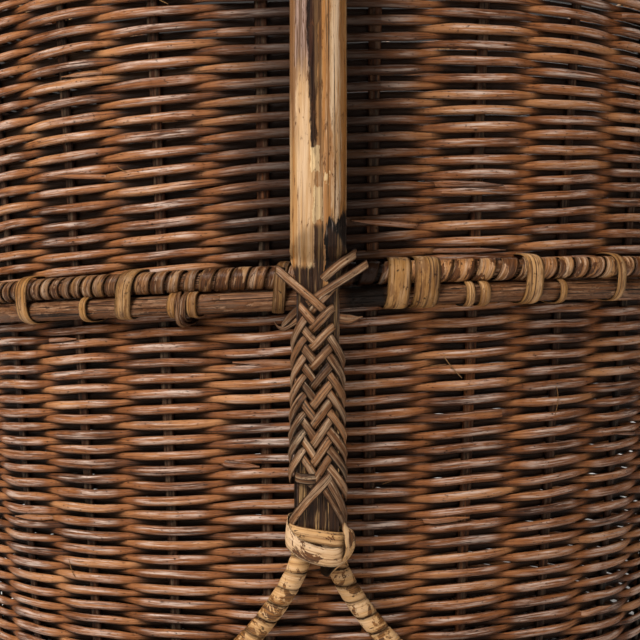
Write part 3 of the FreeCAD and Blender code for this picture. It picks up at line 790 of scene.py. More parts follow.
def loose_fibres():
    """Hair-thin fibres that have come away from the splits and curl off the wall."""
    draw = np.random.default_rng(33)
    count = 46
    t = np.linspace(0, 1, 16)
    theta = draw.uniform(-math.pi, math.pi, count)[:, None] + draw.uniform(-0.05, 0.05, count)[:, None] * t
    curl = draw.uniform(-1, 1, (count, 3))
    height = draw.uniform(0.05, 0.43, count)[:, None]
    height = height + (curl[:, :1] * 16 * t + curl[:, 1:2] * 9 * t**2) * MM
    theta = theta + curl[:, 2:] * 0.05 * t**2
    depth = (2.5 + 5.0 * np.sin(math.pi * t) * np.abs(curl[:, :1])) * MM
    piece = strips("loose_fibres", on_wall(theta, height, depth), wall_normal(theta), 0.45 * MM, 0.35 * MM,
                   draw.random(count))
    place(piece, material("lashing peel"), "upper_weft", "upper_weave")


MAT_PITCH = 9.4 * MM
MAT_HALF = 34.05 * MM
BASE_Z = (LOWER[0].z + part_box("base_weave")[1].z) / 2


def ray_lines(direction):
    """Both ends of the base splits of one set: from the crossing's edge to the wall, in plan."""
    number = np.arange(RAYS) - (RAYS - 1) / 2
    turn = number * STAKE_STEP
    radius = wall_radius(BASE_Z)
    far = np.stack([radius * np.cos(turn), radius * np.sin(turn)], -1)
    near = np.stack([np.full(RAYS, MAT_HALF), number * MAT_PITCH], -1)
    cosine, sine = math.cos(direction), math.sin(direction)
    spin = np.array([[cosine, -sine], [sine, cosine]])
    mirror = np.array([-1, 1])
    return near @ spin.T, far @ spin.T, (near * mirror) @ spin.T, (far * mirror) @ spin.T


def warp_splits():
    """The warp: each split comes down the wall, turns under in a short curve, crosses the base between
    the splits of the other set and climbs the far side."""
    sizes = bpy.context.scene.basket_weave
    t = np.linspace(0, 1, 200)[:, None]
    sets = (("lower", -math.pi / 4, -1.5 * MM, 5), ("upper", math.pi / 4, 1.5 * MM, 6))
    for name, direction, level, seed in sets:
        near_a, far_a, near_b, far_b = ray_lines(direction)
        paths, normals = [], []
        for number in range(RAYS):
            sides = []
            for far in (far_a[number], far_b[number]):
                flat = np.append(far / np.linalg.norm(far), 0.0)
                top = flat * wall_radius(RIM_Z) + UP * (RIM_Z - 1 * MM)
                foot = flat * wall_radius(BASE_Z) + UP * BASE_Z
                sides.append((top, foot, flat))
            (top_a, foot_a, flat_a), (top_b, foot_b, flat_b) = sides
            edge_a = np.append(near_a[number], BASE_Z + level)
            edge_b = np.append(near_b[number], BASE_Z + level)
            route = [top_a + (foot_a - top_a) * t, foot_a + (edge_a - foot_a) * t[1:],
                     edge_a + (edge_b - edge_a) * t[1:-1:4], edge_b + (foot_b - edge_b) * t,
                     foot_b + (top_b - foot_b) * t[1:]]
            facing = [np.broadcast_to(way, stretch.shape)
                      for way, stretch in zip((flat_a, -UP, -UP, -UP, flat_b), route)]
            route, facing = np.concatenate(route), np.concatenate(facing)
            window = np.hanning(13) / np.hanning(13).sum()
            padded = [np.pad(values, ((6, 6), (0, 0)), mode="reflect", reflect_type="odd")
                      for values in (route, facing)]
            route, facing = (np.stack([np.convolve(column, window, "valid") for column in values.T], -1)
                             for values in padded)
            paths.append(route)
            normals.append(unit(facing))
        path, outward = np.array(paths), np.array(normals)
        strand = np.random.default_rng(seed).random(RAYS)
        run = run_along(path)
        width = sizes.stake_width * (1 + 0.06 * waver(run * 40, seed))
        piece = strips(f"warp_{name}_set", path, outward, width, sizes.stake_thickness - PLAY, strand)
        place(piece, material("warp"), f"warp_{name}", f"warp_splits_{name}")


def base_rings():
    """The base's weft: rings that start as rounded squares round the crossing and become circles at the
    wall, (|cos|^n + |sin|^n)^(-1/n) with n falling to 2, woven over and under the rays they meet."""
    sizes = bpy.context.scene.basket_weave
    limit = wall_radius(BASE_Z) - HALF_WEAVE - 1.5 * MM
    radius = np.arange(MAT_HALF + 2.2 * MM, limit, sizes.base_pitch)
    count = len(radius)
    samples = STAKES * 10
    theta = np.arange(samples) * TURN / samples
    power = (2 + 7 * np.exp(-np.arange(count) / 7.0))[:, None]
    turned = theta - math.pi / 4
    shape = (np.abs(np.cos(turned)) ** power + np.abs(np.sin(turned)) ** power) ** (-1 / power)
    far = radius[:, None] * shape
    far = np.minimum(far, limit - (count - 1 - np.arange(count))[:, None] * 2.2 * MM)
    ends = []
    for direction in (-math.pi / 4, math.pi / 4):
        near_a, far_a, near_b, far_b = ray_lines(direction)
        ends += [(near_a, far_a), (near_b, far_b)]
    swings = []
    for ring in range(count):
        angles = []
        for near, wall in ends:
            share = np.linspace(0, 1, 60)[:, None, None]
            line = near + (wall - near) * share
            away = np.linalg.norm(line, axis=-1)
            turn = np.arctan2(line[..., 1], line[..., 0])
            mean = radius[ring] * 1.04
            angles.append([turn[np.argmin(np.abs(away[:, ray] - mean)), ray] for ray in range(RAYS)])
        order = np.sort(np.concatenate(angles) % TURN)
        order = np.concatenate([order[-1:] - TURN, order, order[:1] + TURN])
        phase = np.interp(theta, order, np.arange(-1, STAKES + 1) * math.pi) + math.pi * (ring % 2)
        swings.append(np.cos(phase))
    swing = np.array(swings)
    height = BASE_Z - 2.3 * MM * swing
    path = np.stack([far * np.cos(theta), far * np.sin(theta), height], -1)
    outward = np.broadcast_to(-UP, path.shape)
    own = np.array([waver(theta, 2100 + ring, 5, 4, True) for ring in range(count)])
    width = sizes.weft_width * (0.84 + 0.1 * np.abs(swing)) * (1 + 0.08 * own)
    piece = strips("base_weft", path, outward, width, sizes.weft_thickness * 0.9,
                   np.random.default_rng(8).random(count), True, np.radians(6.0) * own, 0.6 + 0.3 * swing)
    place(piece, material("weft"), "base_weft", "base_weave")


# --- Rods --------------------------------------------------------------------------------------

def hoop(name, radius, height, rod, seed, finish, slot, node, tilt=0.0, change=None):
    """A round hoop of cane: its thickness wanders, and it swells a little at its growth rings."""
    samples = 720
    theta = np.arange(samples) * TURN / samples
    run = theta * radius
    joints = cane_joints(run, 0.19, seed)
    thickness = rod * (0.985 + 0.02 * waver(theta, seed, 9, 4, True)) - 0.2 * MM + 0.25 * MM * joints
    flat = around(theta)
    level = height + 0.25 * MM * waver(theta, seed + 1, 4, 3, True)
    path = (flat * radius + UP * level[:, None])[None]
    outward = flat[None]
    if tilt:
        path, outward = tilt_belt(path), tilt_belt(outward, turn_only=True)
    piece = rods(name, path, outward, thickness[None], 0.3 + 0.05 * seed % 0.6, True, joints=joints[None],
                 change=change, dark=charred(theta)[None] * bool(tilt))
    return place(piece, finish, slot, node)


def tilt_belt(points, turn_only=False):
    """Turns points about the Y axis through the belt's middle, and moves them sideways as the belt is."""
    turn = np.array([[math.cos(BELT_TILT), 0, -math.sin(BELT_TILT)], [0, 1, 0],
                     [math.sin(BELT_TILT), 0, math.cos(BELT_TILT)]])
    if turn_only:
        return points @ turn.T
    centre = np.array([0, 0, BELT_Z])
    slip = np.array([wall_radius(BELT_Z) * math.tan(BELT_TILT) * SLOPE, 0, 0])
    return (points - centre) @ turn.T + centre + slip


def charred(theta):
    """How dark the belt is: charred beside the handle's right edge, front and rear."""
    beside = from_handle(theta)
    return ease(0.025, 0.06, beside) * (1 - ease(0.125, 0.14, beside))


def belt_rods():
    """The belt's two rods, and the peel wound round the upper one: a helix whose turns are close and
    slanted on the left of the front and wider on the right."""
    sizes = bpy.context.scene.basket_bindings
    low, high = BELT_Z - 5.5 * MM, BELT_Z + 6 * MM
    out = BELT_DEPTH
    hoop("belt_lower_cane", wall_radius(low) + out, low, sizes.belt_rod, 11,
         material("bare rod"), "belt_rod", "belt_lower_rod", tilt=BELT_TILT)
    hoop("belt_upper_cane", wall_radius(high) + out, high, sizes.belt_core - PLAY, 14,
         material("bare rod"), "belt_core", "belt_upper_rod", tilt=BELT_TILT)
    radius = wall_radius(high) + out
    fine = np.linspace(-math.pi, math.pi, 20001)
    pitch = (9.8 + 2.0 * np.tanh(6 * np.sin(fine)) + 1.3 * waver(fine, 61, 11, 4, True)) * MM
    turns = np.concatenate([[0], np.cumsum((radius / pitch)[1:] * np.diff(fine))])
    whole = round(turns[-1])
    turns = turns * whole / turns[-1]
    steps = 22
    number = np.arange(whole * steps) / steps
    theta = np.interp(number, turns, fine)
    local_pitch = np.interp(number, turns, pitch)
    wind = TURN * number
    ring = sizes.belt_core + sizes.peel / 2 - PLAY
    each = np.random.default_rng(62).random(whole + 2)
    uneven = each[(number + 0.5).astype(int)]
    ring = ring + 0.25 * MM * (uneven - 0.5)
    flat = around(theta)
    away = flat * np.cos(wind)[:, None] + UP * np.sin(wind)[:, None]
    path = flat * radius + UP * high + away * ring[:, None]
    width = local_pitch * (0.86 + 0.14 * waver(number, 63, 0.7, 3))
    aged = 0.42 * (1 - ease(-0.1, 0.0, np.sin(2 * theta)))
    piece = strips("belt_coil", tilt_belt(path[None]), tilt_belt(away[None], turn_only=True), width[None],
                   sizes.peel, uneven[None], True, dark=np.maximum(charred(theta), aged)[None])
    place(piece, material("coiled peel"), "belt_peel", "belt_wrap")


def loops(centre_theta, height, low, high, back, front, thickness, turns, lead, seed, profile=None):
    """Strips wound round what lies between depths back and front and heights low and high. A turn is a
    superellipse, each coordinate a signed power of a cosine or sine, or follows a closed profile of
    (depth, rise) points. It starts and ends at the back, and moves on sideways by lead. Returns paths
    and outward normals."""
    draw = np.random.default_rng(seed)
    count = len(centre_theta)
    t = np.linspace(-0.04, turns + 0.04, int(turns * 34)) * TURN
    slant = np.broadcast_to(lead, (count,))[:, None] * (t / TURN - turns / 2)
    slant = slant + draw.uniform(-0.3, 0.3, (count, 1)) * MM
    depth = (back + front) / 2 - (front - back + thickness) / 2 * squared(np.cos(t), 0.72)
    rise = (low + high) / 2 + (high - low + thickness) / 2 * squared(np.sin(t), 0.72)
    if profile is not None:
        share = np.linspace(0, TURN, len(profile))
        depth, rise = (np.interp(t % TURN, share, profile[:, axis]) for axis in (0, 1))
    theta = centre_theta[:, None] + slant / wall_radius(height)[:, None]
    zed = height[:, None] + rise * math.cos(LEAN)
    path = on_wall(theta, zed, np.broadcast_to(depth, theta.shape))
    out = wall_normal(theta)
    up = np.stack([np.sin(theta) * math.sin(LEAN), -np.cos(theta) * math.sin(LEAN),
                   np.full(theta.shape, math.cos(LEAN))], -1)
    outward = unit(out * -np.cos(t)[:, None] + up * np.sin(t)[:, None])
    return path, outward


def belt_level(theta):
    """Height of the belt's middle at an angle, allowing for its tilt and the depth of its rods."""
    return BELT_Z + BELT_RADIUS * np.sin(theta) * math.sin(BELT_TILT) + BELT_DEPTH * math.sin(LEAN)


def belt_lashings():
    """Strips that tie both rods of the belt to the wall, a few in pairs, and thinner ones round the
    lower rod alone."""
    sizes = bpy.context.scene.basket_bindings
    angles = np.radians([-51, -38, -22.6, -4.2, 9.0, 12.2, 25.4, 39, 52, 77, 103, 129, 154, 167, 175.6,
                         -167, -141, -116, -90])
    widths = np.array([7, 9, 9, 6.4, 11.6, 13.2, 10.6, 7, 10, 8, 9, 7, 10, 8, 6, 9, 7, 10, 8]) * MM
    lean = np.array([-3, 2, -14, -7, -4.5, -4, -2, 3, -6, 2, -3, -7, 2, -5, -6, -2, 4, -3, -5]) * MM
    charring = np.array([0, 0, 0.25, 0.55, 0.1, 0.2, 0, 0, 0, 0, 0, 0, 0, 0, 0.8, 0, 0, 0, 0])[:, None]
    draw = np.random.default_rng(72)
    path, outward = loops(angles, belt_level(angles), -11.2 * MM, 12.4 * MM, -3.8 * MM, 16.2 * MM,
                          sizes.lashing, 1, lean, 71)
    piece = strips("belt_ties", path, outward, widths[:, None], sizes.lashing,
                   0.55 + 0.4 * draw.random(len(angles)), dark=charring)
    place(piece, material("lashing peel"), "belt_lashing", "belt_lashings")
    extra = np.radians([-28.2, -16.6, -14.2, 17.2, 19.1, 29.6, -62, 64, 90, 116, 141, -154, -129, -103])
    wide = np.array([4.4, 4.6, 5.2, 4.8, 5.8, 4.6, 5, 5, 6, 5, 6, 5, 5, 6]) * MM
    lead = np.array([1.5, -2.5, -2.0, 0.6, 1.0, 0.4, 1, -1, 1, 0.5, -1, 1, 1, -1]) * MM
    path, outward = loops(extra, belt_level(extra), -11.4 * MM, 0.2 * MM, -3.4 * MM, 16.4 * MM,
                          sizes.lashing, 1, lead, 73)
    piece = strips("belt_half_ties", path, outward, wide[:, None], sizes.lashing,
                   0.4 + 0.5 * draw.random(len(extra)))
    place(piece, material("lashing peel"), "belt_lashing", "belt_lashings")
    knot = np.radians([-15.6, -15.2, -15.9, -15.0, 165.0, 165.5])
    low = np.array([-14.6, -13.6, -15.4, -12.8, -14.0, -13.2])[:, None] * MM
    path, outward = loops(knot, belt_level(knot), low, 0.4 * MM, -3.0 * MM, 17.4 * MM, sizes.lashing, 1,
                          np.array([7.0, -6.5, 2.5, -3.0, 6.5, -6.0]) * MM, 79)
    wobble = 0.5 * MM * waver(np.arange(path.shape[1]) * 0.19, 80, 1.6, 4)[:, None]
    piece = strips("belt_knots", path + wobble * outward, outward, 2.6 * MM, 1.6 * MM,
                   np.linspace(0.1, 0.6, 6), dark=0.5)
    place(piece, material("coiled peel"), "belt_lashing", "belt_lashings")


FOOT_ROD = 7 * MM
LEG_FRONT = wall_radius(9 * MM) + 15.8 * MM + 0.6 * MM


def rim_and_foot():
    """The rim's three hoops, the foot ring with its underside rubbed flat, and the strips that tie them."""
    sizes = bpy.context.scene.basket_bindings
    middle = (HOOP[0].z + HOOP[1].z) / 2
    rod = 5 * MM
    gap = HALF_WEAVE + rod + 0.3 * MM
    cane = material("hoop rod")
    hoop("rim_outer_rod", wall_radius(middle) + gap, middle, rod, 31, cane,
         "rim_outer", "rim_outer_hoop")
    hoop("rim_inner_rod", wall_radius(middle) - gap, middle, rod, 34, cane,
         "rim_inner", "rim_inner_hoop")
    hoop("rim_cap_cane", wall_radius(RIM_Z), RIM_Z + 4.2 * MM, 4 * MM, 37, cane, "rim_cane", "rim_top_cane")

    def wear(grid):
        """Flattens the underside where the ground has rubbed it away."""
        grid[..., 2] = np.maximum(grid[..., 2], 0.0)
        return grid

    hoop("foot_rod", FOOT[1].x - FOOT_ROD, FOOT_ROD - 1 * MM, FOOT_ROD, 41, cane, "foot_rod", "foot_ring",
         change=wear)
    number = np.arange(STAKES)
    angles = (number * STAKE_STEP)[number % (STAKES // 2) != 0]
    level = np.full(angles.shape, middle)
    draw = np.random.default_rng(51)
    lead = draw.uniform(3.4, 4.6, len(angles)) * MM
    hug = [(-14.5, 0), (-13.8, 3.2), (-10.8, 7.0), (-5.2, 12.6), (-2.4, 14.4), (0, 15.0), (2.4, 14.4),
           (5.2, 12.6), (10.8, 7.0), (13.8, 3.2), (14.5, 0), (13.6, -3.4), (10.2, -5.6), (0, -6.4),
           (-10.2, -5.6), (-13.6, -3.4), (-14.5, 0)]
    path, outward = loops(angles, level, -5.9 * MM, 14.6 * MM, -14.3 * MM, 14.3 * MM, sizes.lashing,
                          2, lead, 52, profile=smooth_path(hug, 120) * MM)
    piece = strips("rim_ties", path, outward, 4.3 * MM, sizes.lashing, draw.random(len(angles)))
    place(piece, material("lashing peel"), "rim_peel", "rim_lashings")
    foot_angles = (number * STAKE_STEP)[number % 2 == 0]
    away = np.abs((np.degrees(foot_angles) + 90) % 180 - 90)
    foot_angles = foot_angles[np.abs(away - 26.0) > 6.5]
    foot_loops("foot_ties", foot_angles, FOOT[1].x + 0.3 * MM, 7 * MM, 53, "foot_peel", "foot_lashings")
    legs = np.radians([26, -26, 154, -154])
    foot_loops("leg_foot_ties", legs, LEG_FRONT, 7 * MM, 54, "leg_foot_peel", "leg_foot_lashings")


def foot_loops(name, angles, front, width, seed, slot, node):
    """Strips round the foot ring and the edge of the base, in upright planes through the axis."""
    sizes = bpy.context.scene.basket_bindings
    back = FOOT[1].x - 2 * FOOT_ROD - 0.3 * MM
    t = np.linspace(-0.04, 1.04, 40) * TURN
    bottom, top = 0.65 * MM, 21.6 * MM
    radius = (back + front) / 2 - (front - back + sizes.lashing) / 2 * squared(np.cos(t), 0.7)
    height = (bottom + top) / 2 + (top - bottom) / 2 * squared(np.sin(t), 0.7)
    flat = around(angles[:, None] + 0.0 * t)
    path = flat * radius[:, None] + UP * height[:, None]
    outward = unit(flat * -np.cos(t)[:, None] + UP * np.sin(t)[:, None])
    strand = np.random.default_rng(seed).random(len(angles))
    piece = strips(name, path, outward, width - 0.4 * MM, sizes.lashing, strand)
    place(piece, material("lashing peel"), slot, node)


# --- Handle ------------------------------------------------------------------------------------

ARCH_START = (RIM_Z + 24 * MM - BELT_Z) / math.cos(LEAN)
TONGUE = 120 * MM
TONGUE_FRONT = 28.4 * MM


def pole_line():
    """The pole's centreline in its plane: straight up beside the wall, round in an arc that is tangent to
    both straight sides, and down the rear. Gives points, outward normals and height above the belt."""
    out = wall_radius(BELT_Z) + POLE_DEPTH * math.cos(LEAN)
    base = np.array([0, -out, BELT_Z - POLE_DEPTH * math.sin(LEAN)])
    uphill = np.array([0, -math.sin(LEAN), math.cos(LEAN)])
    bend = base + uphill * ARCH_START
    arch = -bend[1] / math.cos(LEAN)
    centre = np.array([0, 0, bend[2] + arch * math.sin(LEAN)])
    low = np.arange(-TONGUE, ARCH_START, 1.5 * MM)
    straight = base + uphill * low[:, None]
    turn = np.linspace(-LEAN, math.pi + LEAN, 560)
    ring = np.stack([np.zeros(turn.shape), -np.cos(turn), np.sin(turn)], -1)
    curve = centre + arch * ring
    flip = np.array([1, -1, 1])
    outward = np.concatenate([np.broadcast_to([0, -math.cos(LEAN), -math.sin(LEAN)], straight.shape), ring,
                              np.broadcast_to([0, math.cos(LEAN), -math.sin(LEAN)], straight.shape)])
    above = np.concatenate([low, np.full(len(curve), ARCH_START), low[::-1]])
    return np.concatenate([straight, curve, straight[::-1] * flip]), outward, above


def handle():
    """The bent pole. Its round section wanders, is fluted by the grain and swells at growth rings; below
    the scarf its front is cut back to the tongue, and its sides are pulled in."""
    path, outward, above = pole_line()
    columns = 64
    turn = np.arange(columns) * TURN / columns
    run = run_along(path[None])[0]
    joints = cane_joints(run, 0.36, 81)
    flutes = (0.28 * waver(turn * 3, 82, 1.0, 4) + 0.2 * np.sin(turn * 11 + 3 * np.sin(turn * 2))) * MM
    radius = (POLE_RADIUS - 0.55 * MM + 0.25 * MM * waver(run * 9, 83) + 0.3 * MM * joints)[:, None]
    radius = radius + flutes * ease(-0.9, 0.5, waver(run * 5, 84))[:, None]
    ahead = directions(path[None], False)[0]
    across = unit(np.cross(outward, ahead))
    x = radius * np.sin(turn)
    out = radius * np.cos(turn)
    ramp = ease(13 * MM, 34 * MM, above)[:, None]
    ragged = 1.1 * MM * waver(above * 260, 85)[:, None] * (ramp > 0) * (ramp < 1)
    limit = TONGUE_FRONT - POLE_DEPTH - 0.7 * MM + (2 * POLE_RADIUS - 12 * MM) * ramp + ragged
    soft = 1.6 * MM
    out_cut = np.minimum(out, limit) - 0.35 * MM * np.exp(-((out - limit) / soft) ** 2)
    cut = ease(-0.5 * MM, 1.0 * MM, out - limit)
    narrow = 10.3 * MM + (POLE_RADIUS - 9.3 * MM) * ease(2 * MM, 24 * MM, above)[:, None]
    x_cut = np.clip(x, -narrow, narrow)
    corner = ease(0.55, 1.0, np.abs(x_cut) / narrow) * (1 - ramp)
    out_cut = out_cut - 2.6 * MM * corner * (out_cut > -2 * MM)
    grid = path[:, None] + across[:, None] * x_cut[..., None] + outward[:, None] * out_cut[..., None]
    facts = {"cut": cut[None], "joint": joints[None, :, None]}
    piece = skin("bent_pole", grid[None], run[None], facts)
    place(piece, material("peeled pole"), "pole", "handle_pole")


def sleeve_normals(side, local, half=14 * MM, middle=16 * MM, deep=12.5 * MM):
    """Outward normals of a sleeve round the tongue: those of an ellipse about a line at depth middle."""
    way = unit(np.stack([local[..., 0] / half**2, (local[..., 2] - middle) / deep**2], -1))
    sideways, out = handle_axes(side)
    return sideways * way[..., :1] + out * way[..., 1:]


def sleeve_strips(name, side, routes, width, thickness, seed, finish, slot, node, count=24, taper=0.0,
                  half=14 * MM):
    """Strips along listed or worked-out routes round the tongue, (x, up, depth) in millimetres."""
    local = np.array([smooth_path(route, count) for route in routes]) * MM
    path = beside_tongue(side, local)
    t = np.linspace(0, 1, count)
    size = np.broadcast_to(np.reshape(width, (-1, 1)), (len(routes), count))
    size = size * (1 - taper * ease(0.55, 1.0, t))
    draw = np.random.default_rng(seed)
    piece = strips(name, path, sleeve_normals(side, local, half), size, thickness,
                   0.3 + 0.6 * draw.random(len(routes)))
    return place(piece, finish, slot, node)


def plait(side, end):
    """The herringbone sleeve: a dark core, and four columns of short strands that lean in turn left and
    right, steeper further down. Each strand rises from under its neighbour and dives under the next,
    and the outer ones turn the tongue's edges. Four last strips cross above the tongue's end."""
    up = np.linspace(-24, -116, 60) * MM
    spread = np.linspace(0, TURN, 29)[:-1]
    half = (10.4 + 1.4 * ease(24 * MM, 75 * MM, -up))[:, None] * MM
    x = half * squared(np.sin(spread), 0.8)
    out = 10.7 * MM * squared(np.cos(spread), 0.8)
    core = by_handle(side, 0.0, up, 15.5 * MM, bow=False)
    sideways, outward = handle_axes(side)
    grid = core[:, None] + sideways * x[..., None] + outward * out[..., None]
    facts = {"strand": 0.2, "joint": 0.0, "dark": 0.6}
    piece = skin(f"{end}_plait_core", grid[None], run_along(core[None]), facts)
    place(piece, material("dark core"), f"{end}_plait", f"{end}_plait")
    draw = np.random.default_rng(91 + side)
    # r is the depth of the plait's face, level the height of a row, and j holds small random shifts.
    r = 29.3
    routes, widths = [], []
    for level in np.arange(3.0, -88.0, -9.1):
        grow = float(ease(12, 75, -level))
        steep = 0.72 + 0.34 * grow
        j = draw.uniform(-0.8, 0.8, 10)
        low = level - 6
        if level < 0:
            routes.append([(-8.6 - 1.2 * grow + j[0], low + (7.2 + j[1]) * steep, r - 2.4),
                           (-6.6 - 0.6 * grow, low + 4.2 * steep, r - 0.1),
                           (-3.6, low - 0.8 * steep, r + 0.9),
                           (-1.0 + j[2], low - 5.4 * steep, r + 0.3), (0.8, low - 8.4 * steep, r - 1.6)])
            widths.append(4.4 + 0.5 * j[3])
        routes.append([(-3.6 + j[4], low - 9.2 * steep, r - 1.2), (-1.6, low - 6.2 * steep, r + 0.7),
                       (2.0, low - 0.8 * steep, r + 1.3), (5.4, low + 4.0 * steep, r + 0.5),
                       (7.6 + 0.7 * grow, low + (6.6 + j[5]) * steep, r - 1.6)])
        widths.append(4.5 + 0.5 * j[6])
        if level < -14:
            routes.append([(2.6 + j[7], low + 3.4, r - 1.4), (5.4, low - 0.2, r + 0.2),
                           (8.8 + 0.6 * grow, low - 5.4, r + 0.1), (11.4 + 1.1 * grow, low - 10.6, r - 2.2),
                           (12.3 + 1.3 * grow, low - 14.6, r - 6.2),
                           (12.2 + 1.3 * grow, low - 18.0, r - 12.0)])
            widths.append(4.5 + 0.5 * j[8])
            routes.append([(-5.8 - 0.6 * grow, low + 9.0 + j[9], r - 1.4),
                           (-8.6 - 0.9 * grow, low + 4.8, r + 0.1),
                           (-11.2 - 1.2 * grow, low - 0.4, r - 2.2),
                           (-12.4 - 1.3 * grow, low - 5.2, r - 6.4),
                           (-12.4 - 1.3 * grow, low - 8.8, r - 12.0)])
            widths.append(4.2 + 0.4 * j[0])
    routes += [[(-10.6, -90.0, r - 1.4), (-9.0, -90.2, r + 1.0), (-5.4, -90.6, r + 1.7),
                (-1.8, -90.8, r + 1.3), (-0.2, -91.0, r - 0.6)],
               [(2.2, -86, r - 1.0), (6.0, -92.6, r + 1.1), (10.0, -100.4, r + 0.2),
                (12.8, -108.0, r - 2.6), (13.2, -114.4, r - 8.0)],
               [(0.2, -90, r - 0.8), (3.6, -95.6, r + 0.9), (7.6, -102.6, r + 0.8),
                (11.2, -109.6, r - 0.8), (13.0, -115.4, r - 4.0)],
               [(7.0, -87.2, r - 0.6), (4.6, -90.4, r + 1.5), (-1.0, -96.6, r + 1.8),
                (-6.8, -103.4, r + 1.2), (-11.4, -110.0, r - 1.4), (-13.4, -114.6, r - 6.5)]]
    widths += [5.4, 4.6, 4.4, 4.8]
    local = np.array([smooth_path(route, 24) for route in routes]) * MM
    path = beside_tongue(side, local)
    strand = draw.random(len(routes)) * 0.8
    strand[-1] = 0.85
    width = np.array(widths)[:, None] * MM * (1 + 0.08 * waver(local[..., 1] * 300, 95))
    piece = strips(f"{end}_plait_strands", path, sleeve_normals(side, local), width, 1.2 * MM, strand)
    place(piece, material("plait splits"), f"{end}_plait", f"{end}_plait")


def straps(side, end):
    """The crossed straps over the tongue, the stub above them, and the loose ends beside the belt."""
    routes = [
        [(-15.5, 8.2, 12), (-17.6, 9.4, 18), (-19.4, 10.4, 24), (-18.6, 10.0, 27.6), (-14, 6.0, 29.4),
         (-8, 1.0, 30.6), (-3, -3.2, 31.4), (1.4, -7.2, 30.8), (3.6, -9.6, 28.6)],
        [(19, 12.4, 12), (21.8, 13.2, 18), (23.6, 13.2, 24), (21.4, 11.8, 27.6), (14, 7.2, 29.8),
         (6, 2.2, 31.0), (0.6, -1.4, 30.6), (-2.6, -3.8, 29.6), (-5, -5.6, 28.2)],
        [(14, 15.6, 12), (17.0, 17.6, 20), (17.6, 18.0, 25.0), (15.4, 16.6, 28.6), (11.0, 13.8, 30.4),
         (6.0, 9.6, 29.8), (2.0, 5.6, 27)],
    ]
    sleeve_strips(f"{end}_straps", side, routes, np.array([4.3, 4.2, 5.0]) * MM, 1.1 * MM, 101 + side,
                  material("plait splits"), f"{end}_straps", f"{end}_cross_straps", count=40, half=34 * MM)
    ends = [
        [(-4, -10, 26), (-8, -12.6, 25), (-12.4, -15.8, 22.6), (-16.4, -18.2, 21.4), (-19.2, -17.6, 21.4),
         (-21.0, -15.0, 21.8)],
        [(-6, -6, 27), (-9.4, -8.6, 25.6), (-13.2, -12.4, 23.4), (-16.6, -16.4, 21.6), (-17.8, -18.6, 21)],
        [(3, -10.5, 27), (9.0, -12.6, 27), (13.4, -13.4, 26.2), (17.6, -13.2, 25.6), (21.6, -12.2, 25.6)],
    ]
    sleeve_strips(f"{end}_strap_ends", side, ends, np.array([3.2, 4.0, 5.2]) * MM, 1.0 * MM, 103 + side,
                  material("plait splits"), f"{end}_straps", f"{end}_cross_straps", taper=0.85,
                  half=30 * MM)


def collar(side, end):
    """Three turns of pale peel: one level round the tongue's end, one that sweeps down from the left
    across the fork, and one round the top of the right leg."""
    def back_round(route):
        """The rest of a turn, behind the tongue, from the route's last point to its first."""
        (first_x, first_up, _), (last_x, last_up, _) = route[0], route[-1]
        return [(last_x, last_up, 14), (last_x * 0.5, last_up, 5.4), (0, (first_up + last_up) / 2, 4.9),
                (first_x * 0.5, first_up, 5.4), (first_x, first_up, 14)]

    level = [(-13.6, -117.2, 14), (-13.4, -117.2, 24.6), (-9, -117.8, 28.9), (0, -119.2, 29.6),
             (9, -120.6, 29.2), (13.6, -121.2, 25.0), (13.9, -121.4, 14)]
    sweep = [(-14.4, -116.0, 12), (-15.4, -118.4, 21), (-13.6, -121.4, 27.6), (-8.6, -125.0, 30.2),
             (-1.0, -128.0, 30.9), (7.0, -129.6, 29.8), (11.8, -128.8, 26.6), (14.0, -126.4, 20),
             (14.2, -124, 12)]
    leg = [(12.4, -113.4, 20), (14.0, -115.6, 26.6), (15.6, -120.4, 28.4), (15.8, -126.0, 27.2),
           (13.6, -131.6, 24.4), (9.4, -136.6, 20.6), (4.6, -139.4, 15.8), (1.6, -139.6, 9.8)]
    turns = ((level + back_round(level), 7.2), (sweep + back_round(sweep), 9.2), (leg, 7.4))
    for number, (route, width) in enumerate(turns):
        sleeve_strips(f"{end}_collar_turn_{number + 1}", side, [route], np.array([width]) * MM, 1.1 * MM,
                      111 + side + 7 * number, material("pale peel"), f"{end}_collar", f"{end}_collar",
                      count=110)


def leg_line(side, hand):
    """A leg's centreline: down behind the tongue, then outwards over the wall to the foot ring. Points
    are (x, below the belt) in millimetres, carried on the wall."""
    points = [(5.6, 17), (5.6, 60), (5.6, 100), (6.0, 122), (8.6, 136.0), (12.4, 146.0), (18.2, 156.5),
              (25.8, 167.6), (34.2, 178.0), (50.0, 194.2), (72.4, 210.6), (99.4, 226.6)]
    route = smooth_path(np.array(points), 260) * MM
    return by_handle(side, hand * route[:, 0], -route[:, 1], 10.26 * MM)


def follow(run, values, at):
    """Values known along a run, at other distances along it."""
    return np.stack([np.interp(at, run, values[:, axis]) for axis in range(3)], -1)


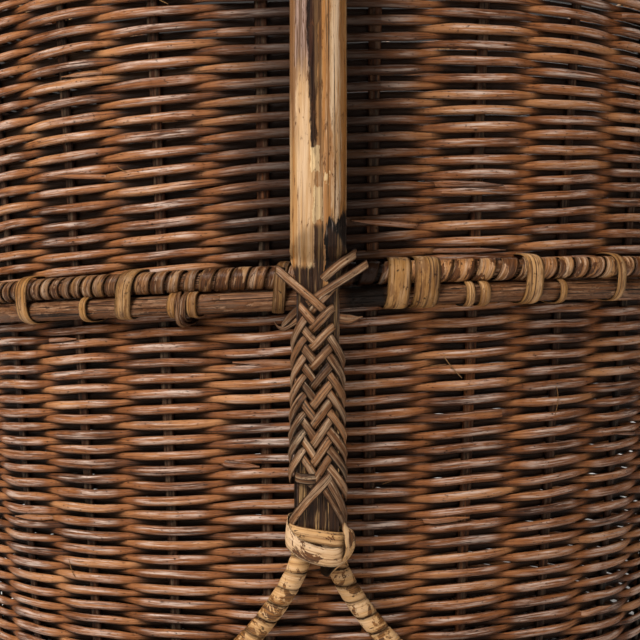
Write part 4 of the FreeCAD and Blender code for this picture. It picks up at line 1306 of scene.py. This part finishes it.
def legs(side, end):
    """The two legs: bare canes, and the peel wound round them below the plait in a helix."""
    sizes = bpy.context.scene.basket_bindings
    for hand, word in ((1, "right"), (-1, "left")):
        line = leg_line(side, hand)
        theta = np.arctan2(line[:, 0], -line[:, 1])
        outward = wall_normal(theta)
        run = run_along(line[None])[0]
        seed = 121 + 4 * side + hand
        piece = rods(f"{end}_{word}_cane", line[None], outward[None], sizes.leg_core - PLAY,
                     joints=cane_joints(run, 0.12, seed))
        place(piece, material("bare rod"), f"{end}_{word}_cane", f"{end}_{word}_leg")
        below_belt = (BELT_Z - line[:, 2]) / math.cos(LEAN)
        first = float(np.interp(118 * MM, below_belt, run))
        last = run[-1]
        pitch = 9.6 * MM
        turns = (last - first) / pitch
        number = np.linspace(0, turns, int(turns * 26))
        at = first + number * pitch + 0.5 * MM * waver(number, seed, 0.9, 3)
        at = np.clip(at, first, last)
        centre = follow(run, line, at)
        out = unit(follow(run, outward, at))
        across = unit(np.cross(out, follow(run, directions(line[None], False)[0], at)))
        wind = hand * TURN * number + 0.8
        away = out * np.cos(wind)[:, None] + across * np.sin(wind)[:, None]
        ring = sizes.leg_core + sizes.peel / 2
        piece = strips(f"{end}_{word}_coil", (centre + away * ring)[None], away[None], pitch * 0.95,
                       sizes.peel, 0.75 if hand < 0 else 0.5)
        place(piece, material("leg peel"), f"{end}_{word}_peel", f"{end}_{word}_leg_wrap")


def rim_tie(side, end):
    """Two turns of peel that hold the pole to the wall under the rim hoops, from behind the wall to the
    front of the pole."""
    rim = (RIM_Z - BELT_Z) / math.cos(LEAN) / MM
    half, middle, deep = 15.1, 20.4, 24.8
    t = np.linspace(-0.03, 1.03, 15) * TURN
    turns = [np.stack([-half * squared(np.sin(t), 0.8), rim - drop + 0.25 * np.sin(t),
                       middle - deep * squared(np.cos(t), 0.8)], -1) for drop in (17.0, 21.6)]
    local = np.array([smooth_path(turn, 90) for turn in turns]) * MM
    outward = sleeve_normals(side, local, half * MM, middle * MM, deep * MM)
    piece = strips(f"{end}_pole_tie", beside_tongue(side, local), outward, 4.4 * MM, 1.1 * MM,
                   np.array([0.5, 0.8]))
    place(piece, material("lashing peel"), f"{end}_rim_tie", f"{end}_rim_tie")


# --- Stage -------------------------------------------------------------------------------------

def aim(thing, target):
    """Turns a lamp or camera so that its -Z axis points at the target."""
    way = np.array(target) - np.array(thing.location)
    flat = math.hypot(way[0], way[1])
    thing.rotation_euler = (math.pi / 2 + math.atan2(way[2], flat), 0, math.atan2(-way[0], way[1]))


def lamp(name, where, target, size, power, colour):
    made = bpy.data.lights.new(name, "AREA")
    made.shape = "SQUARE"
    made.size = size
    made.energy = power
    made.color = colour
    thing = bpy.data.objects.new(name, made)
    thing.location = where
    aim(thing, target)
    bpy.context.scene.collection.objects.link(thing)


def studio():
    """A pale floor, a soft key light from the upper left, two weak lights and the camera."""
    s = Shader("pale floor")
    s.finish((0.78, 0.77, 0.75, 1.0), 0.7)
    mesh = bpy.data.meshes.new("floor")
    half = 6.0
    corners = [(-half, -half, 0), (half, -half, 0), (half, half, 0), (-half, half, 0)]
    mesh.from_pydata(corners, [], [(0, 1, 2, 3)])
    mesh.materials.append(s.material)
    floor = bpy.data.objects.new("floor", mesh)
    bpy.context.scene.collection.objects.link(floor)
    lamp("key", (-2.2, -3.0, 3.1), (0, -0.2, 0.24), 1.9, 340, (1.0, 0.975, 0.94))
    lamp("fill", (1.6, -1.6, 0.7), (0, -0.2, 0.24), 1.4, 10, (1.0, 0.96, 0.92))
    lamp("back", (0.6, 1.8, 1.7), (0, 0.1, 0.3), 1.4, 12, (1.0, 0.98, 0.96))
    world = bpy.data.worlds.new("surroundings")
    world.use_nodes = True
    world.node_tree.nodes["Background"].inputs["Color"].default_value = (0.95, 0.9, 0.85, 1.0)
    world.node_tree.nodes["Background"].inputs["Strength"].default_value = 0.06
    bpy.context.scene.world = world
    seen = bpy.data.cameras.new("camera")
    seen.lens = 74.25
    seen.sensor_width = 36.0
    camera = bpy.data.objects.new("camera", seen)
    camera.location = (1 * MM, -900 * MM, 219 * MM)
    camera.rotation_euler = (math.pi / 2, 0, 0)
    bpy.context.scene.collection.objects.link(camera)
    bpy.context.scene.camera = camera
    bpy.context.scene.view_settings.view_transform = "Standard"


# --- Operators ---------------------------------------------------------------------------------

def bind_handle():
    """Binds both ends of the handle."""
    for side, end in enumerate(("front", "rear")):
        for step in (straps, plait, collar, legs, rim_tie):
            step(side, end)


class Maker:
    """What the operators share: each one runs its steps in order."""

    steps = ()

    def execute(self, context):
        for step in self.steps:
            step()
        return {"FINISHED"}


class BASKET_OT_wall(Maker, bpy.types.Operator):
    """Weave the wall, row by row"""

    bl_idname = "basket.wall"
    bl_label = "Wall"
    steps = (weave_walls,)


class BASKET_OT_warp(Maker, bpy.types.Operator):
    """Lay the warp splits from rim to rim"""

    bl_idname = "basket.warp"
    bl_label = "Warp splits"
    steps = (warp_splits,)


class BASKET_OT_base(Maker, bpy.types.Operator):
    """Weave the base"""

    bl_idname = "basket.base"
    bl_label = "Base"
    steps = (base_rings,)


class BASKET_OT_ends(Maker, bpy.types.Operator):
    """Add spliced ends and loose fibres"""

    bl_idname = "basket.ends"
    bl_label = "Loose ends"
    steps = (spliced_ends, loose_fibres)


class BASKET_OT_belt(Maker, bpy.types.Operator):
    """Make the belt's rods, coil and lashings"""

    bl_idname = "basket.belt"
    bl_label = "Belt"
    steps = (belt_rods, belt_lashings)


class BASKET_OT_rim(Maker, bpy.types.Operator):
    """Make the rim's hoops, the foot ring and their lashings"""

    bl_idname = "basket.rim"
    bl_label = "Rim and foot"
    steps = (rim_and_foot,)


class BASKET_OT_handle(Maker, bpy.types.Operator):
    """Make the bent pole"""

    bl_idname = "basket.handle"
    bl_label = "Handle"
    steps = (handle,)


class BASKET_OT_bindings(Maker, bpy.types.Operator):
    """Bind both ends of the handle: straps, plait, collar, legs and rim tie"""

    bl_idname = "basket.bindings"
    bl_label = "Handle bindings"
    steps = (bind_handle,)


class BASKET_OT_stage(Maker, bpy.types.Operator):
    """Set up the floor, the lights and the camera"""

    bl_idname = "basket.stage"
    bl_label = "Stage"
    steps = (studio,)


OPERATORS = (BASKET_OT_wall, BASKET_OT_warp, BASKET_OT_base, BASKET_OT_ends, BASKET_OT_belt, BASKET_OT_rim,
             BASKET_OT_handle, BASKET_OT_bindings, BASKET_OT_stage)
GROUPS = {"basket_weave": WeaveSizes, "basket_bindings": BindingSizes, "basket_colours": Colours}


class BASKET_PT_panel(bpy.types.Panel):
    """The basket's sizes, colours and operators"""

    bl_idname = "BASKET_PT_panel"
    bl_label = "Wicker basket"
    bl_space_type = "VIEW_3D"
    bl_region_type = "UI"
    bl_category = "Basket"

    def draw(self, context):
        for group in GROUPS:
            settings = getattr(context.scene, group)
            for name in settings.__annotations__:
                self.layout.prop(settings, name)
        for operator in OPERATORS:
            self.layout.operator(operator.bl_idname)


def register():
    for group in GROUPS.values():
        bpy.utils.register_class(group)
    for name, group in GROUPS.items():
        setattr(bpy.types.Scene, name, bpy.props.PointerProperty(type=group))
    for made in (*OPERATORS, BASKET_PT_panel):
        bpy.utils.register_class(made)


def unregister():
    for made in (BASKET_PT_panel, *reversed(OPERATORS)):
        bpy.utils.unregister_class(made)
    for name, group in reversed(GROUPS.items()):
        delattr(bpy.types.Scene, name)
        bpy.utils.unregister_class(group)


def main():
    register()
    for operator in OPERATORS:
        family, action = operator.bl_idname.split(".")
        getattr(getattr(bpy.ops, family), action)()


if __name__ == "__main__":
    main()
